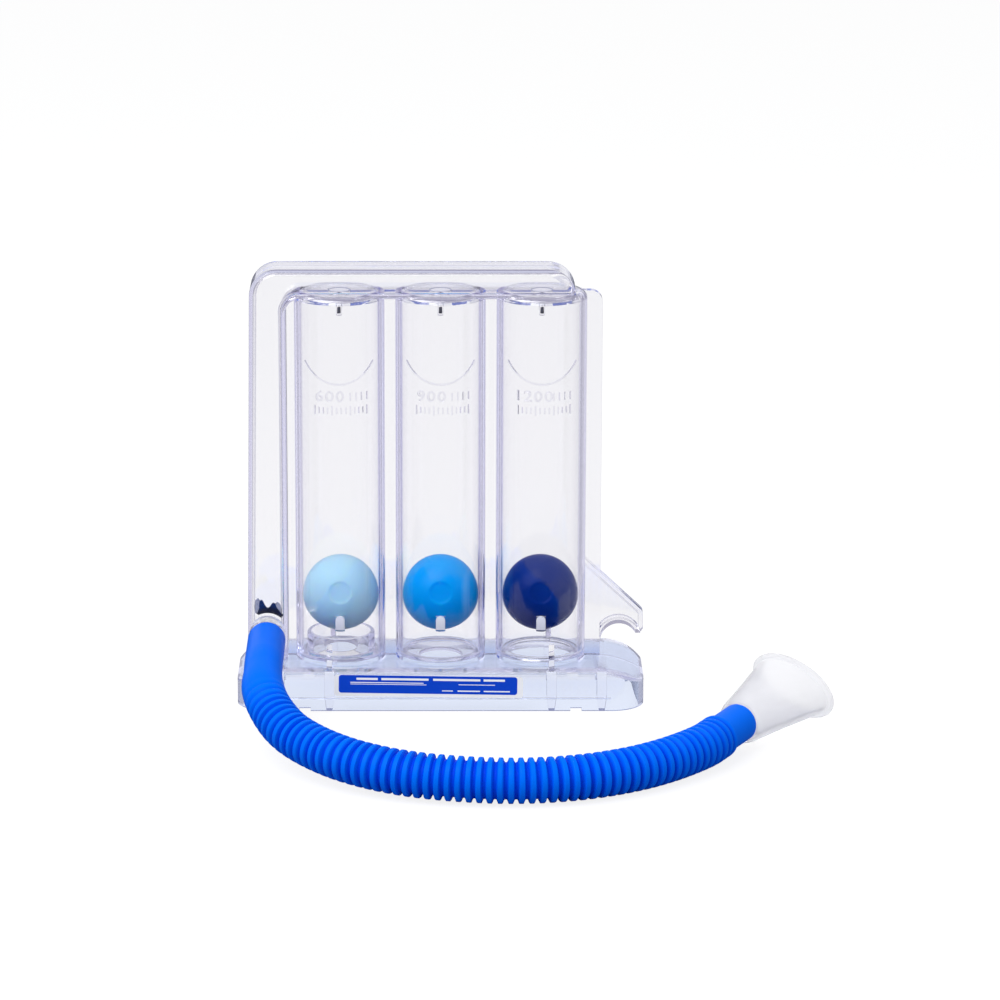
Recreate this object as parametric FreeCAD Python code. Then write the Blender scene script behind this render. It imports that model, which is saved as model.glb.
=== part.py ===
import FreeCAD, Part
import math
import os

# Three-chamber incentive spirometer, a hand-held breathing trainer.
# Breath drawn at the mouthpiece pulls air up through three clear chambers and lifts a ball in each.
# Lengths are in millimetres. X runs along the row of chambers, Y to the back, Z up.
# The origin is on the table under the middle of the base, in the plane where the two shells meet.

V = FreeCAD.Vector

# Balls and their travel
BALL_DIAMETER = 25.0
BALL_WALL = 1.2
BALL_SPOT_DEPTH = 0.6
BALL_SPOT_TILT = 14.0
BALL_REST_HEIGHT = 35.0
BALL_STOP_DROP = 19.3
BALL_STOP_GAP = 0.02

# Chambers
CHAMBER_PITCH = 33.0
CHAMBER_GAP = 0.3
CHAMBER_WALL = 2.0
CHAMBER_TOP = 137.0
CHAMBER_TOP_WALL = 1.8
CHAMBER_TOP_ROUND = 2.5
AIR_HOLE_DIAMETER = 6.6
REST_PEG_WIDTH = 3.0
REST_PEG_REACH = 1.35
REST_PEG_HEIGHT = 5.0
STOP_PIN_DIAMETER = 1.8
STOP_PIN_OFFSET = 4.6
STOP_PIN_SINK = 0.5

# Flange where the two shells are welded together
SHELL_WALL = 1.5
FLANGE_LEFT = -52.0
FLANGE_RIGHT = 52.8
FLANGE_CORNER = 4.0

# Air duct: a column on the left and a run over the chambers
DUCT_DEPTH = 18.0
DUCT_RISE = 8.0
DUCT_LEFT_LOW = -63.7
DUCT_LEFT_HIGH = -62.0
DUCT_COLUMN_RIGHT = -50.5
DUCT_END = 44.0
DUCT_CORNER = 9.0
DUCT_INNER_CORNER = 5.0
DUCT_EDGE_ROUND = 2.5

# Base
BASE_WIDTH = 134.0
BASE_DEPTH = 42.0
BASE_TOP = 13.5
BASE_PLAN_CORNER = 11.0
BASE_END_RUN = 17.0
BASE_END_DROP = 5.0
BASE_FOOT = 4.4
BASE_LEAN = 1.2
BASE_TOP_ROUND = 2.0
BASE_RIB_PLACES = (36.5, 53.0)
BASE_RIB_WIDTH = 3.2
BASE_RIB_TIP = 2.0
BASE_RIB_REACH = 3.5
GUSSET_THICKNESS = 1.8
GUSSET_HEIGHT = 7.3
GUSSET_FOOT = 4.6
NOTCH_WIDTH = 3.7
NOTCH_HEIGHT = 1.0
NOTCH_PLACE = 44.5

# Hose clip on the right edge
CLIP_BORE = 12.4
CLIP_RISE = 0.3
CLIP_HIGH_POINT = 47.3
CLIP_LOW_POINT = 28.6
CLIP_TIP_HEIGHT = 21.6
CLIP_ROOT = 47.0
CLIP_SHOULDER_ROUND = 2.5
CLIP_TIP_ROUND = 1.6
CLIP_WEB = 1.8
CLIP_RIM_DEPTH = 4.4
CLIP_PANEL_TOP = 45.1
CLIP_PANEL_RIGHT = 65.5
CLIP_PANEL_SHOULDER = 27.9
CLIP_PANEL_BOTTOM = 16.6
CLIP_PANEL_ROUND = 1.0
CLIP_SADDLE_DEPTH = 6.8
CLIP_SADDLE_WALL = 1.5

# Hose port on the front of the duct column
PORT_X = -57.0
PORT_HEIGHT = 23.2
PORT_COLLAR_DIAMETER = 12.0
PORT_COLLAR_REACH = 8.5
SPIGOT_DIAMETER = 9.8
SPIGOT_LENGTH = 15.5
SPIGOT_BORE = 7.8
SPIGOT_CHAMFER = 0.5
PORT_PLUG_DIAMETER = 9.9
PORT_PLUG_LENGTH = 4.0
PORT_SEAT_CLEARANCE = 0.03

# Flow discs
DISC_BOTTOM = 14.6
DISC_THICKNESS = 1.2
DISC_SEAT_DEPTH = 0.8
DISC_CLEARANCE = 0.05
LOW_OPENING = 11.0
LOW_COLLAR_DIAMETER = 22.3
LOW_COLLAR_WALL = 1.2
LOW_COLLAR_HEIGHT = 6.2
MID_OPENING = 14.0
MID_DISH_DIAMETER = 23.0
MID_DISH_DEPTH = 2.0
HIGH_OPENING = 21.4

# Hose and its two cuffs
HOSE_DIAMETER = 14.3
PUSH_FIT = 0.05
CUFF_DIAMETER = 12.2
CUFF_LENGTH = 17.0
CUFF_ROUND = 0.6

# The route of the hose from the port cuff to the mouthpiece cuff, over the table.
# It leaves the port cuff along -Y and ends along the axis of the mouthpiece.
HOSE_MIDDLE_POINTS = (
    (-57.0, -47.5, 23.2),
    (-56.9, -63.9, 19.1),
    (-49.9, -80.4, 13.2),
    (-40.5, -91.5, 10.5),
    (-28.1, -102.9, 9.1),
    (-11.8, -111.2, 8.0),
    (6.0, -114.8, 7.3),
    (24.5, -116.5, 7.2),
    (42.5, -113.2, 7.2),
    (58.5, -105.6, 7.2),
    (71.4, -95.2, 7.2),
    (82.85, -82.15, 7.39),
)
HOSE_END = (86.83, -75.22, 7.73)
HOSE_BEND_SHARE = 0.45

# Mouthpiece
MOUTHPIECE_HEADING = 60.1
MOUTHPIECE_PITCH = 2.46
MOUTHPIECE_ROLL = 23.7
MOUTHPIECE_LENGTH = 41.7
MOUTHPIECE_NECK = 15.0
MOUTHPIECE_LIP_WIDTH = 30.4
MOUTHPIECE_LIP_HEIGHT = 17.2
MOUTHPIECE_WALL = 1.4
MOUTHPIECE_LIP_BEAD = 1.1
MOUTHPIECE_BEAD_LENGTH = 3.0
MOUTHPIECE_BEAD_CROWN = (0.45, 0.7)
MOUTHPIECE_FLARE_POWER = 1.15
MOUTHPIECE_SECTIONS = (0.0, 0.25, 0.5, 0.75, 1.0)
OVAL_START = 0.02
STEM_LENGTH = 14.0
STEM_BORE = 7.8

# Label on the front of the base
LABEL_WIDTH = 62.0
LABEL_HEIGHT = 7.0
LABEL_LIFT = 0.4
LABEL_THICKNESS = 0.12
LABEL_X = -4.2
LABEL_TURN = 0.8
LABEL_CORNER = 1.0

# Worked-out sizes
BALL_RADIUS = BALL_DIAMETER / 2
BALL_TOP_HEIGHT = CHAMBER_TOP - BALL_STOP_DROP
BORE_RADIUS = BALL_RADIUS + CHAMBER_GAP
CHAMBER_RADIUS = BORE_RADIUS + CHAMBER_WALL
CHAMBER_CENTRES = (-CHAMBER_PITCH, 0.0, CHAMBER_PITCH)
CHAMBER_CEILING = CHAMBER_TOP - CHAMBER_TOP_WALL
DUCT_TOP = CHAMBER_TOP + DUCT_RISE
BASE_CEILING = BASE_TOP - SHELL_WALL
BASE_END = BASE_WIDTH / 2
BASE_FRONT = BASE_DEPTH / 2
BASE_ARC_RADIUS = (BASE_END_RUN ** 2 + BASE_END_DROP ** 2) / (2 * BASE_END_DROP)
DUCT_FRONT = DUCT_DEPTH / 2
COLLAR_END = -DUCT_FRONT - PORT_COLLAR_REACH
CUFF_BORE = SPIGOT_DIAMETER + 2 * PUSH_FIT
CUFF_START = COLLAR_END - PUSH_FIT
HOSE_START = (PORT_X, CUFF_START - CUFF_LENGTH, PORT_HEIGHT)
CLIP_X = FLANGE_RIGHT + CLIP_BORE / 2
REACH = 400.0


def box(low, high):
    """Block between two opposite corners."""
    size = V(*high) - V(*low)
    return Part.makeBox(size.x, size.y, size.z, V(*low))


def rounded_wire(corners):
    """Closed outline through (point, radius) corners, each rounded by a tangent arc."""
    count = len(corners)
    starts = []
    arcs = []
    for index, (point, radius) in enumerate(corners):
        back = (corners[index - 1][0] - point).normalize()
        ahead = (corners[(index + 1) % count][0] - point).normalize()
        if radius == 0:
            starts.append((point, point))
            arcs.append(None)
            continue
        half = back.getAngle(ahead) / 2
        reach = radius / math.tan(half)
        middle = (back + ahead).normalize()
        crown = point + middle * (radius / math.sin(half) - radius)
        starts.append((point + back * reach, point + ahead * reach))
        arcs.append(crown)
    edges = []
    for index in range(count):
        enter, leave = starts[index]
        if arcs[index] is not None:
            edges.append(Part.Arc(enter, arcs[index], leave).toShape())
        following = starts[(index + 1) % count][0]
        if (following - leave).Length > 1e-6:
            edges.append(Part.LineSegment(leave, following).toShape())
    return Part.Wire(edges)


def prism_along_y(corners, half_depth):
    """Outline of (x, z, radius) corners, as deep as given on both sides of the parting plane."""
    wire = rounded_wire([(V(x, -half_depth, z), radius) for x, z, radius in corners])
    return Part.Face(wire).extrude(V(0, 2 * half_depth, 0))


def revolved(profile, centre_x):
    """Ring turned from (radius, z) corners about the upright axis of a chamber."""
    points = [V(centre_x + radius, 0, z) for radius, z in profile]
    face = Part.Face(Part.makePolygon(points + points[:1]))
    return face.revolve(V(centre_x, 0, 0), V(0, 0, 1), 360)


def tube(start, axis, outer_diameter, inner_diameter, length):
    """Straight round tube."""
    outer = Part.makeCylinder(outer_diameter / 2, length, start, axis)
    return outer.cut(Part.makeCylinder(inner_diameter / 2, length, start, axis))


def mirrored(point):
    """The same point on the other side of the middle chamber."""
    return V(-point.x, point.y, point.z)


def base_block(inset):
    """Base envelope, moved inwards by the inset on every side but the bottom."""
    end = BASE_END - inset
    front = BASE_FRONT - inset
    top = BASE_TOP - inset
    corner = BASE_PLAN_CORNER - inset
    plan_corners = ((-end, -front), (end, -front), (end, front), (-end, front))
    plan = [(V(x, y, 0), corner) for x, y in plan_corners]
    plan_body = Part.Face(rounded_wire(plan)).extrude(V(0, 0, BASE_TOP))

    arc_start = BASE_END - BASE_END_RUN
    radius = BASE_ARC_RADIUS - inset
    angle = math.asin((end - arc_start) / radius)
    arc_end = V(end, -REACH / 2, top - radius * (1 - math.cos(angle)))
    half_drop = radius * (1 - math.cos(angle / 2))
    arc_middle = V(arc_start + radius * math.sin(angle / 2), -REACH / 2, top - half_drop)
    right_foot = V(end, -REACH / 2, 0)
    right_top = V(arc_start, -REACH / 2, top)
    long_view = Part.Wire([
        Part.LineSegment(mirrored(right_foot), right_foot).toShape(),
        Part.LineSegment(right_foot, arc_end).toShape(),
        Part.Arc(arc_end, arc_middle, right_top).toShape(),
        Part.LineSegment(right_top, mirrored(right_top)).toShape(),
        Part.Arc(mirrored(right_top), mirrored(arc_middle), mirrored(arc_end)).toShape(),
        Part.LineSegment(mirrored(arc_end), mirrored(right_foot)).toShape(),
    ])
    long_body = Part.Face(long_view).extrude(V(0, REACH, 0))

    crown = BASE_TOP_ROUND - inset
    side = [
        (V(-REACH / 2, -front, 0), 0),
        (V(-REACH / 2, -front, BASE_FOOT), 0),
        (V(-REACH / 2, -front + BASE_LEAN, top), crown),
        (V(-REACH / 2, front - BASE_LEAN, top), crown),
        (V(-REACH / 2, front, BASE_FOOT), 0),
        (V(-REACH / 2, front, 0), 0),
    ]
    side_body = Part.Face(rounded_wire(side)).extrude(V(REACH, 0, 0))
    return plan_body.common(long_body).common(side_body)


def duct_block(inset):
    """Air duct envelope: the column on the left and the run over the chambers."""
    bottom = BASE_CEILING if inset == 0 else BASE_TOP
    shelf = CHAMBER_CEILING if inset == 0 else CHAMBER_TOP
    corners = [
        (DUCT_LEFT_LOW + inset, bottom, 0),
        (DUCT_COLUMN_RIGHT - inset, bottom, 0),
        (DUCT_COLUMN_RIGHT - inset, shelf, DUCT_INNER_CORNER + inset),
        (DUCT_END - inset, shelf, 0),
        (DUCT_END - inset, DUCT_TOP - inset, min(DUCT_CORNER - inset, DUCT_TOP - shelf - 2 * inset)),
        (DUCT_LEFT_HIGH + inset, DUCT_TOP - inset, DUCT_CORNER - inset),
    ]
    block = prism_along_y(corners, DUCT_FRONT - inset)
    rim = [edge for edge in block.Edges if edge.BoundBox.YLength < 1e-6]
    return block.makeFillet(DUCT_EDGE_ROUND - inset, rim)


def chamber_tubes():
    """Outer bodies of the three chambers, rounded where wall and top meet."""
    tubes = []
    for centre in CHAMBER_CENTRES:
        body = Part.makeCylinder(CHAMBER_RADIUS, CHAMBER_TOP - BASE_CEILING, V(centre, 0, BASE_CEILING))
        top_edges = [edge for edge in body.Edges if edge.BoundBox.ZMin > CHAMBER_TOP - 1e-3]
        tubes.append(body.makeFillet(CHAMBER_TOP_ROUND, top_edges))
    return tubes


def flange_plate():
    """Flat rim in the parting plane, where the shells are welded."""
    corners = [
        (FLANGE_LEFT, BASE_CEILING, 0),
        (FLANGE_RIGHT, BASE_CEILING, 0),
        (FLANGE_RIGHT, CHAMBER_TOP, FLANGE_CORNER),
        (FLANGE_LEFT, CHAMBER_TOP, 0),
    ]
    return prism_along_y(corners, SHELL_WALL)


def base_top_height(x):
    """Height of the base's rounded end above the table."""
    past = max(0.0, abs(x) - (BASE_END - BASE_END_RUN))
    return BASE_TOP - BASE_ARC_RADIUS + math.sqrt(BASE_ARC_RADIUS ** 2 - past ** 2)


def hose_clip():
    """Open hook in the parting plane that holds a hose cuff against the base."""
    centre_z = base_top_height(CLIP_X) + CLIP_BORE / 2 + CLIP_RISE
    outline = [
        (CLIP_ROOT, CLIP_HIGH_POINT, 0),
        (BASE_END, CLIP_LOW_POINT, CLIP_SHOULDER_ROUND),
        (BASE_END, CLIP_TIP_HEIGHT, CLIP_TIP_ROUND),
        (CLIP_X, CLIP_TIP_HEIGHT, 0),
        (FLANGE_RIGHT, centre_z, 0),
        (CLIP_ROOT, centre_z, 0),
    ]
    panel = [
        (CLIP_ROOT, CLIP_PANEL_TOP, 0),
        (CLIP_PANEL_RIGHT, CLIP_PANEL_SHOULDER, CLIP_PANEL_ROUND),
        (CLIP_PANEL_RIGHT, CLIP_PANEL_BOTTOM, 0),
        (CLIP_ROOT, CLIP_PANEL_BOTTOM, 0),
    ]
    web = prism_along_y(outline, CLIP_WEB / 2)
    rim = prism_along_y(outline, CLIP_RIM_DEPTH / 2).cut(prism_along_y(panel, CLIP_RIM_DEPTH))
    start = V(CLIP_X, -CLIP_SADDLE_DEPTH / 2, centre_z)
    saddle = Part.makeCylinder(CLIP_BORE / 2 + CLIP_SADDLE_WALL, CLIP_SADDLE_DEPTH, start, V(0, 1, 0))
    upper = box((FLANGE_RIGHT, -BASE_FRONT, centre_z), (CLIP_X, BASE_FRONT, DUCT_TOP))
    tip_side = box((CLIP_X, -BASE_FRONT, CLIP_TIP_HEIGHT), (BASE_END, BASE_FRONT, DUCT_TOP))
    saddle = saddle.common(upper.fuse(tip_side))
    return web.fuse([rim, saddle])


def clip_bore():
    """Round seat of the hose clip."""
    centre_z = base_top_height(CLIP_X) + CLIP_BORE / 2 + CLIP_RISE
    return Part.makeCylinder(CLIP_BORE / 2, BASE_DEPTH, V(CLIP_X, -BASE_FRONT, centre_z), V(0, 1, 0))


def hose_port():
    """Clear connector in the front of the duct column: inner plug, collar and spigot, bored through."""
    outline = [
        (SPIGOT_BORE / 2, PORT_PLUG_LENGTH - DUCT_FRONT),
        (PORT_PLUG_DIAMETER / 2, PORT_PLUG_LENGTH - DUCT_FRONT),
        (PORT_PLUG_DIAMETER / 2, -DUCT_FRONT),
        (PORT_COLLAR_DIAMETER / 2, -DUCT_FRONT),
        (PORT_COLLAR_DIAMETER / 2, COLLAR_END),
        (SPIGOT_DIAMETER / 2, COLLAR_END),
        (SPIGOT_DIAMETER / 2, COLLAR_END - SPIGOT_LENGTH + SPIGOT_CHAMFER),
        (SPIGOT_DIAMETER / 2 - SPIGOT_CHAMFER, COLLAR_END - SPIGOT_LENGTH),
        (SPIGOT_BORE / 2, COLLAR_END - SPIGOT_LENGTH),
    ]
    points = [V(PORT_X + radius, y, PORT_HEIGHT) for radius, y in outline]
    face = Part.Face(Part.makePolygon(points + points[:1]))
    return face.revolve(V(PORT_X, 0, PORT_HEIGHT), V(0, 1, 0), 360)


def gussets():
    """Small upright fins between the outer chambers and the base, front and back."""
    fins = []
    inside = BORE_RADIUS + CHAMBER_WALL / 4
    for x in (-BASE_RIB_PLACES[0], BASE_RIB_PLACES[0]):
        for side in (-1, 1):
            left = x - GUSSET_THICKNESS / 2
            wall_y = side * inside
            foot_y = side * (CHAMBER_RADIUS + GUSSET_FOOT)
            points = [
                V(left, wall_y, BASE_CEILING),
                V(left, foot_y, BASE_CEILING),
                V(left, foot_y, BASE_TOP),
                V(left, side * CHAMBER_RADIUS, BASE_TOP + GUSSET_HEIGHT),
                V(left, wall_y, BASE_TOP + GUSSET_HEIGHT),
            ]
            side_face = Part.Face(Part.makePolygon(points + points[:1]))
            fins.append(side_face.extrude(V(GUSSET_THICKNESS, 0, 0)))
    return fins


def chamber_hollows():
    """Bores of the chambers, their air holes at the top and the seats of the flow discs."""
    hollows = []
    hole_start = CHAMBER_CEILING - 1
    hole_length = CHAMBER_TOP - hole_start + 1
    for centre in CHAMBER_CENTRES:
        bore = Part.makeCylinder(BORE_RADIUS, CHAMBER_CEILING, V(centre, 0, 0))
        top_edges = [edge for edge in bore.Edges if edge.BoundBox.ZMin > CHAMBER_CEILING - 1e-3]
        hollows.append(bore.makeFillet(CHAMBER_TOP_ROUND / 2, top_edges))
        hollows.append(Part.makeCylinder(AIR_HOLE_DIAMETER / 2, hole_length, V(centre, 0, hole_start)))
        seat_radius = BORE_RADIUS + DISC_SEAT_DEPTH
        seat_height = DISC_THICKNESS + DISC_CLEARANCE
        hollows.append(Part.makeCylinder(seat_radius, seat_height, V(centre, 0, DISC_BOTTOM)))
    return hollows


def rest_pegs():
    """Two pegs low in each chamber, front and back, that the ball rests on."""
    pegs = []
    contact_y = BORE_RADIUS - REST_PEG_REACH
    drop = math.sqrt(BALL_RADIUS ** 2 - contact_y ** 2)
    top = BALL_REST_HEIGHT - drop - BALL_STOP_GAP
    for centre in CHAMBER_CENTRES:
        for side in (-1, 1):
            near = side * contact_y
            far = side * (BORE_RADIUS + CHAMBER_WALL / 2)
            profile = [
                V(centre - REST_PEG_WIDTH / 2, near, top),
                V(centre - REST_PEG_WIDTH / 2, far, top),
                V(centre - REST_PEG_WIDTH / 2, far, top - REST_PEG_HEIGHT),
                V(centre - REST_PEG_WIDTH / 2, side * BORE_RADIUS, top - REST_PEG_HEIGHT),
                V(centre - REST_PEG_WIDTH / 2, near, top - REST_PEG_HEIGHT / 2),
            ]
            peg = Part.Face(Part.makePolygon(profile + profile[:1])).extrude(V(REST_PEG_WIDTH, 0, 0))
            pegs.append(peg)
    return pegs


def stop_pins():
    """Two pins under each chamber's top, which stop the ball short of the air hole."""
    pins = []
    nearest = STOP_PIN_OFFSET - STOP_PIN_DIAMETER / 2
    tip = BALL_TOP_HEIGHT + math.sqrt(BALL_RADIUS ** 2 - nearest ** 2) + BALL_STOP_GAP
    for centre in CHAMBER_CENTRES:
        for side in (-1, 1):
            start = V(centre, side * STOP_PIN_OFFSET, tip)
            pins.append(Part.makeCylinder(STOP_PIN_DIAMETER / 2, CHAMBER_TOP - STOP_PIN_SINK - tip, start))
    return pins


def base_ribs():
    """Tapered ribs inside the front and back walls of the base."""
    ribs = []
    half = BASE_RIB_WIDTH / 2
    tip = BASE_RIB_TIP / 2
    for place in BASE_RIB_PLACES:
        for x in (-place, place):
            for side in (-1, 1):
                outer_y = side * BASE_FRONT
                inner_y = side * (BASE_FRONT - SHELL_WALL - BASE_RIB_REACH)
                points = [
                    V(x - tip, outer_y, 0),
                    V(x + tip, outer_y, 0),
                    V(x + half, outer_y, BASE_FOOT),
                    V(x + half, outer_y, BASE_TOP),
                    V(x - half, outer_y, BASE_TOP),
                    V(x - half, outer_y, BASE_FOOT),
                ]
                face = Part.Face(Part.makePolygon(points + points[:1]))
                ribs.append(face.extrude(V(0, inner_y - outer_y, 0)))
    return ribs


def air_notches():
    """Low cuts in the foot of the base, which let air in when it stands on a table."""
    cuts = []
    for x in (-NOTCH_PLACE, NOTCH_PLACE):
        low = (x - NOTCH_WIDTH / 2, -BASE_FRONT - 1, -1)
        high = (x + NOTCH_WIDTH / 2, BASE_FRONT + 1, NOTCH_HEIGHT)
        cuts.append(box(low, high))
    return cuts


def port_hole():
    """Hole in the front of the duct column that the hose port is seated in."""
    radius = PORT_PLUG_DIAMETER / 2 + PORT_SEAT_CLEARANCE
    start = V(PORT_X, 2 * SHELL_WALL - DUCT_FRONT, PORT_HEIGHT)
    return Part.makeCylinder(radius, 3 * SHELL_WALL, start, V(0, -1, 0))


def whole_body():
    """Both shells as one body, before it is parted."""
    base = base_block(0)
    outer = base.fuse(chamber_tubes() + [flange_plate(), duct_block(0), hose_clip()] + gussets())
    inner = [duct_block(SHELL_WALL), base_block(SHELL_WALL), port_hole(), clip_bore()]
    hollow = outer.cut(chamber_hollows() + inner)
    ribs = [rib.common(base) for rib in base_ribs()]
    filled = hollow.fuse(rest_pegs() + stop_pins() + ribs)
    return filled.cut(air_notches()).removeSplitter()


def shell_half(body, side):
    """The part of the body in front of (-1) or behind (+1) the parting plane."""
    near = min(0.0, side * REACH)
    keep = box((-REACH, near, -REACH), (REACH, near + REACH, REACH))
    return body.common(keep)


def ball(centre_x):
    """Hollow ball with a shallow flat spot that faces the reader."""
    centre = V(centre_x, 0, BALL_REST_HEIGHT)
    outer = Part.makeSphere(BALL_RADIUS, centre)
    tilt = math.radians(BALL_SPOT_TILT)
    facing = V(0, -math.cos(tilt), math.sin(tilt))
    spot_centre = centre + facing * (BALL_RADIUS - BALL_SPOT_DEPTH)
    spot = Part.makeCylinder(BALL_RADIUS, BALL_RADIUS, spot_centre, facing)
    return outer.cut(spot).cut(Part.makeSphere(BALL_RADIUS - BALL_WALL, centre))


def disc_rim():
    """Outer radius and top of a flow disc."""
    return BORE_RADIUS + DISC_SEAT_DEPTH - DISC_CLEARANCE, DISC_BOTTOM + DISC_THICKNESS


def low_flow_disc():
    """Disc under the first ball, with a small opening inside a standing collar."""
    rim, top = disc_rim()
    outside = LOW_COLLAR_DIAMETER / 2
    inside = outside - LOW_COLLAR_WALL
    profile = [
        (LOW_OPENING / 2, DISC_BOTTOM),
        (rim, DISC_BOTTOM),
        (rim, top),
        (outside, top),
        (outside, top + LOW_COLLAR_HEIGHT),
        (inside, top + LOW_COLLAR_HEIGHT),
        (inside, top),
        (LOW_OPENING / 2, top),
    ]
    return revolved(profile, CHAMBER_CENTRES[0])


def mid_flow_disc():
    """Disc under the second ball, dished towards its opening."""
    rim, top = disc_rim()
    dish = MID_DISH_DIAMETER / 2
    opening = MID_OPENING / 2
    profile = [
        (opening, DISC_BOTTOM - MID_DISH_DEPTH),
        (dish, DISC_BOTTOM),
        (rim, DISC_BOTTOM),
        (rim, top),
        (dish, top),
        (opening, top - MID_DISH_DEPTH),
    ]
    return revolved(profile, CHAMBER_CENTRES[1])


def high_flow_disc():
    """Disc under the third ball, a plain ring with the widest opening."""
    rim, top = disc_rim()
    opening = HIGH_OPENING / 2
    profile = [(opening, DISC_BOTTOM), (rim, DISC_BOTTOM), (rim, top), (opening, top)]
    return revolved(profile, CHAMBER_CENTRES[2])


def cuff(start, axis):
    """Smooth end sleeve of the hose, rounded at its open end."""
    sleeve = tube(start, axis, CUFF_DIAMETER, CUFF_BORE, CUFF_LENGTH)
    rim = []
    for edge in sleeve.Edges:
        if edge.isClosed() and abs(edge.Curve.Radius - CUFF_DIAMETER / 2) < 1e-6:
            if (edge.Curve.Center - start).Length < 1e-3:
                rim.append(edge)
    return sleeve.makeFillet(CUFF_ROUND, rim)


def hose_route():
    """Line of the hose: straight runs joined by tangent arcs, and its length and radii."""
    points = [V(*HOSE_START)] + [V(*point) for point in HOSE_MIDDLE_POINTS] + [V(*HOSE_END)]
    edges = []
    radii = []
    last = points[0]
    for before, corner, after in zip(points, points[1:], points[2:]):
        back = before - corner
        ahead = after - corner
        half_turn = (math.pi - back.getAngle(ahead)) / 2
        reach = HOSE_BEND_SHARE * min(back.Length, ahead.Length)
        radius = reach / math.tan(half_turn)
        back.normalize()
        ahead.normalize()
        enter = corner + back * reach
        leave = corner + ahead * reach
        crown = corner + (back + ahead).normalize() * (radius / math.cos(half_turn) - radius)
        edges.append(Part.LineSegment(last, enter).toShape())
        edges.append(Part.Arc(enter, crown, leave).toShape())
        radii.append(radius)
        last = leave
    edges.append(Part.LineSegment(last, points[-1]).toShape())
    route = Part.Wire(edges)
    print("hose length", round(route.Length, 1), "radii", [round(radius, 1) for radius in radii])
    return route


def hose_tube():
    """Plain tube that stands for the ribbed hose between its cuffs."""
    route = hose_route()
    start = V(*HOSE_START)
    shapes = []
    for diameter in (HOSE_DIAMETER, CUFF_BORE):
        ring = Part.Wire(Part.makeCircle(diameter / 2, start, V(0, -1, 0)))
        swept = route.makePipeShell([ring], True, False)
        expected = math.pi * diameter ** 2 / 4 * route.Length
        print("swept volume", round(swept.Volume), "section times length", round(expected))
        shapes.append(swept)
    return shapes[0].cut(shapes[1])


def mouthpiece_placement():
    """Places a piece made along +Z, wide along X, at the open end of the mouthpiece cuff."""
    heading = math.radians(MOUTHPIECE_HEADING)
    pitch = math.radians(MOUTHPIECE_PITCH)
    axis = V(math.cos(heading) * math.cos(pitch), math.sin(heading) * math.cos(pitch), math.sin(pitch))
    level = V(axis.y, -axis.x, 0).normalize()
    upright = level.cross(axis)
    roll = math.radians(MOUTHPIECE_ROLL)
    wide = level * math.cos(roll) - upright * math.sin(roll)
    rotation = FreeCAD.Rotation(wide, axis.cross(wide), axis, "ZXY")
    origin = V(*HOSE_END) + axis * (CUFF_LENGTH + PUSH_FIT)
    return FreeCAD.Placement(origin, rotation), axis


def oval(width, height, z):
    """Oval outline across the mouthpiece's axis."""
    curve = Part.Ellipse(V(0, 0, z), width / 2, height / 2)
    return Part.Wire(curve.toShape())


def oval_loft(sections):
    """Smooth body through (width, height, z) ovals."""
    return Part.makeLoft([oval(*section) for section in sections], True, False)


def mouthpiece():
    """Flared mouthpiece: a stem inside the cuff, a round neck and an oval lip with a bead."""
    length = MOUTHPIECE_LENGTH
    neck = MOUTHPIECE_NECK
    throat_width = MOUTHPIECE_LIP_WIDTH - 2 * MOUTHPIECE_LIP_BEAD
    throat_height = MOUTHPIECE_LIP_HEIGHT - 2 * MOUTHPIECE_LIP_BEAD
    flare = throat_width - neck
    thinning = neck - throat_height
    sections = []
    for share in MOUTHPIECE_SECTIONS:
        width = neck + OVAL_START + flare * share ** MOUTHPIECE_FLARE_POWER
        sections.append((width, neck - thinning * share ** 2, length * share))
    outer = oval_loft(sections)
    thin = 2 * MOUTHPIECE_WALL
    inner = oval_loft([(width - thin, height - thin, z) for width, height, z in sections])
    floor = box((-REACH, -REACH, MOUTHPIECE_WALL), (REACH, REACH, REACH))
    bead_start = length - MOUTHPIECE_BEAD_LENGTH
    crown = [bead_start + share * MOUTHPIECE_BEAD_LENGTH for share in MOUTHPIECE_BEAD_CROWN]
    bead = oval_loft([
        (throat_width - MOUTHPIECE_WALL, throat_height - MOUTHPIECE_WALL, bead_start),
        (MOUTHPIECE_LIP_WIDTH, MOUTHPIECE_LIP_HEIGHT, crown[0]),
        (MOUTHPIECE_LIP_WIDTH, MOUTHPIECE_LIP_HEIGHT, crown[1]),
        (throat_width, throat_height, length),
    ])
    stem_end = V(0, 0, -STEM_LENGTH)
    stem = Part.makeCylinder(SPIGOT_DIAMETER / 2, STEM_LENGTH + MOUTHPIECE_WALL / 2, stem_end)
    bore = Part.makeCylinder(STEM_BORE / 2, STEM_LENGTH + 2 * MOUTHPIECE_WALL, stem_end)
    piece = outer.fuse(bead).cut(inner.common(floor)).fuse(stem).cut(bore)
    piece.Placement = mouthpiece_placement()[0]
    print("mouthpiece lowest point", round(piece.optimalBoundingBox().ZMin, 2))
    return piece


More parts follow.
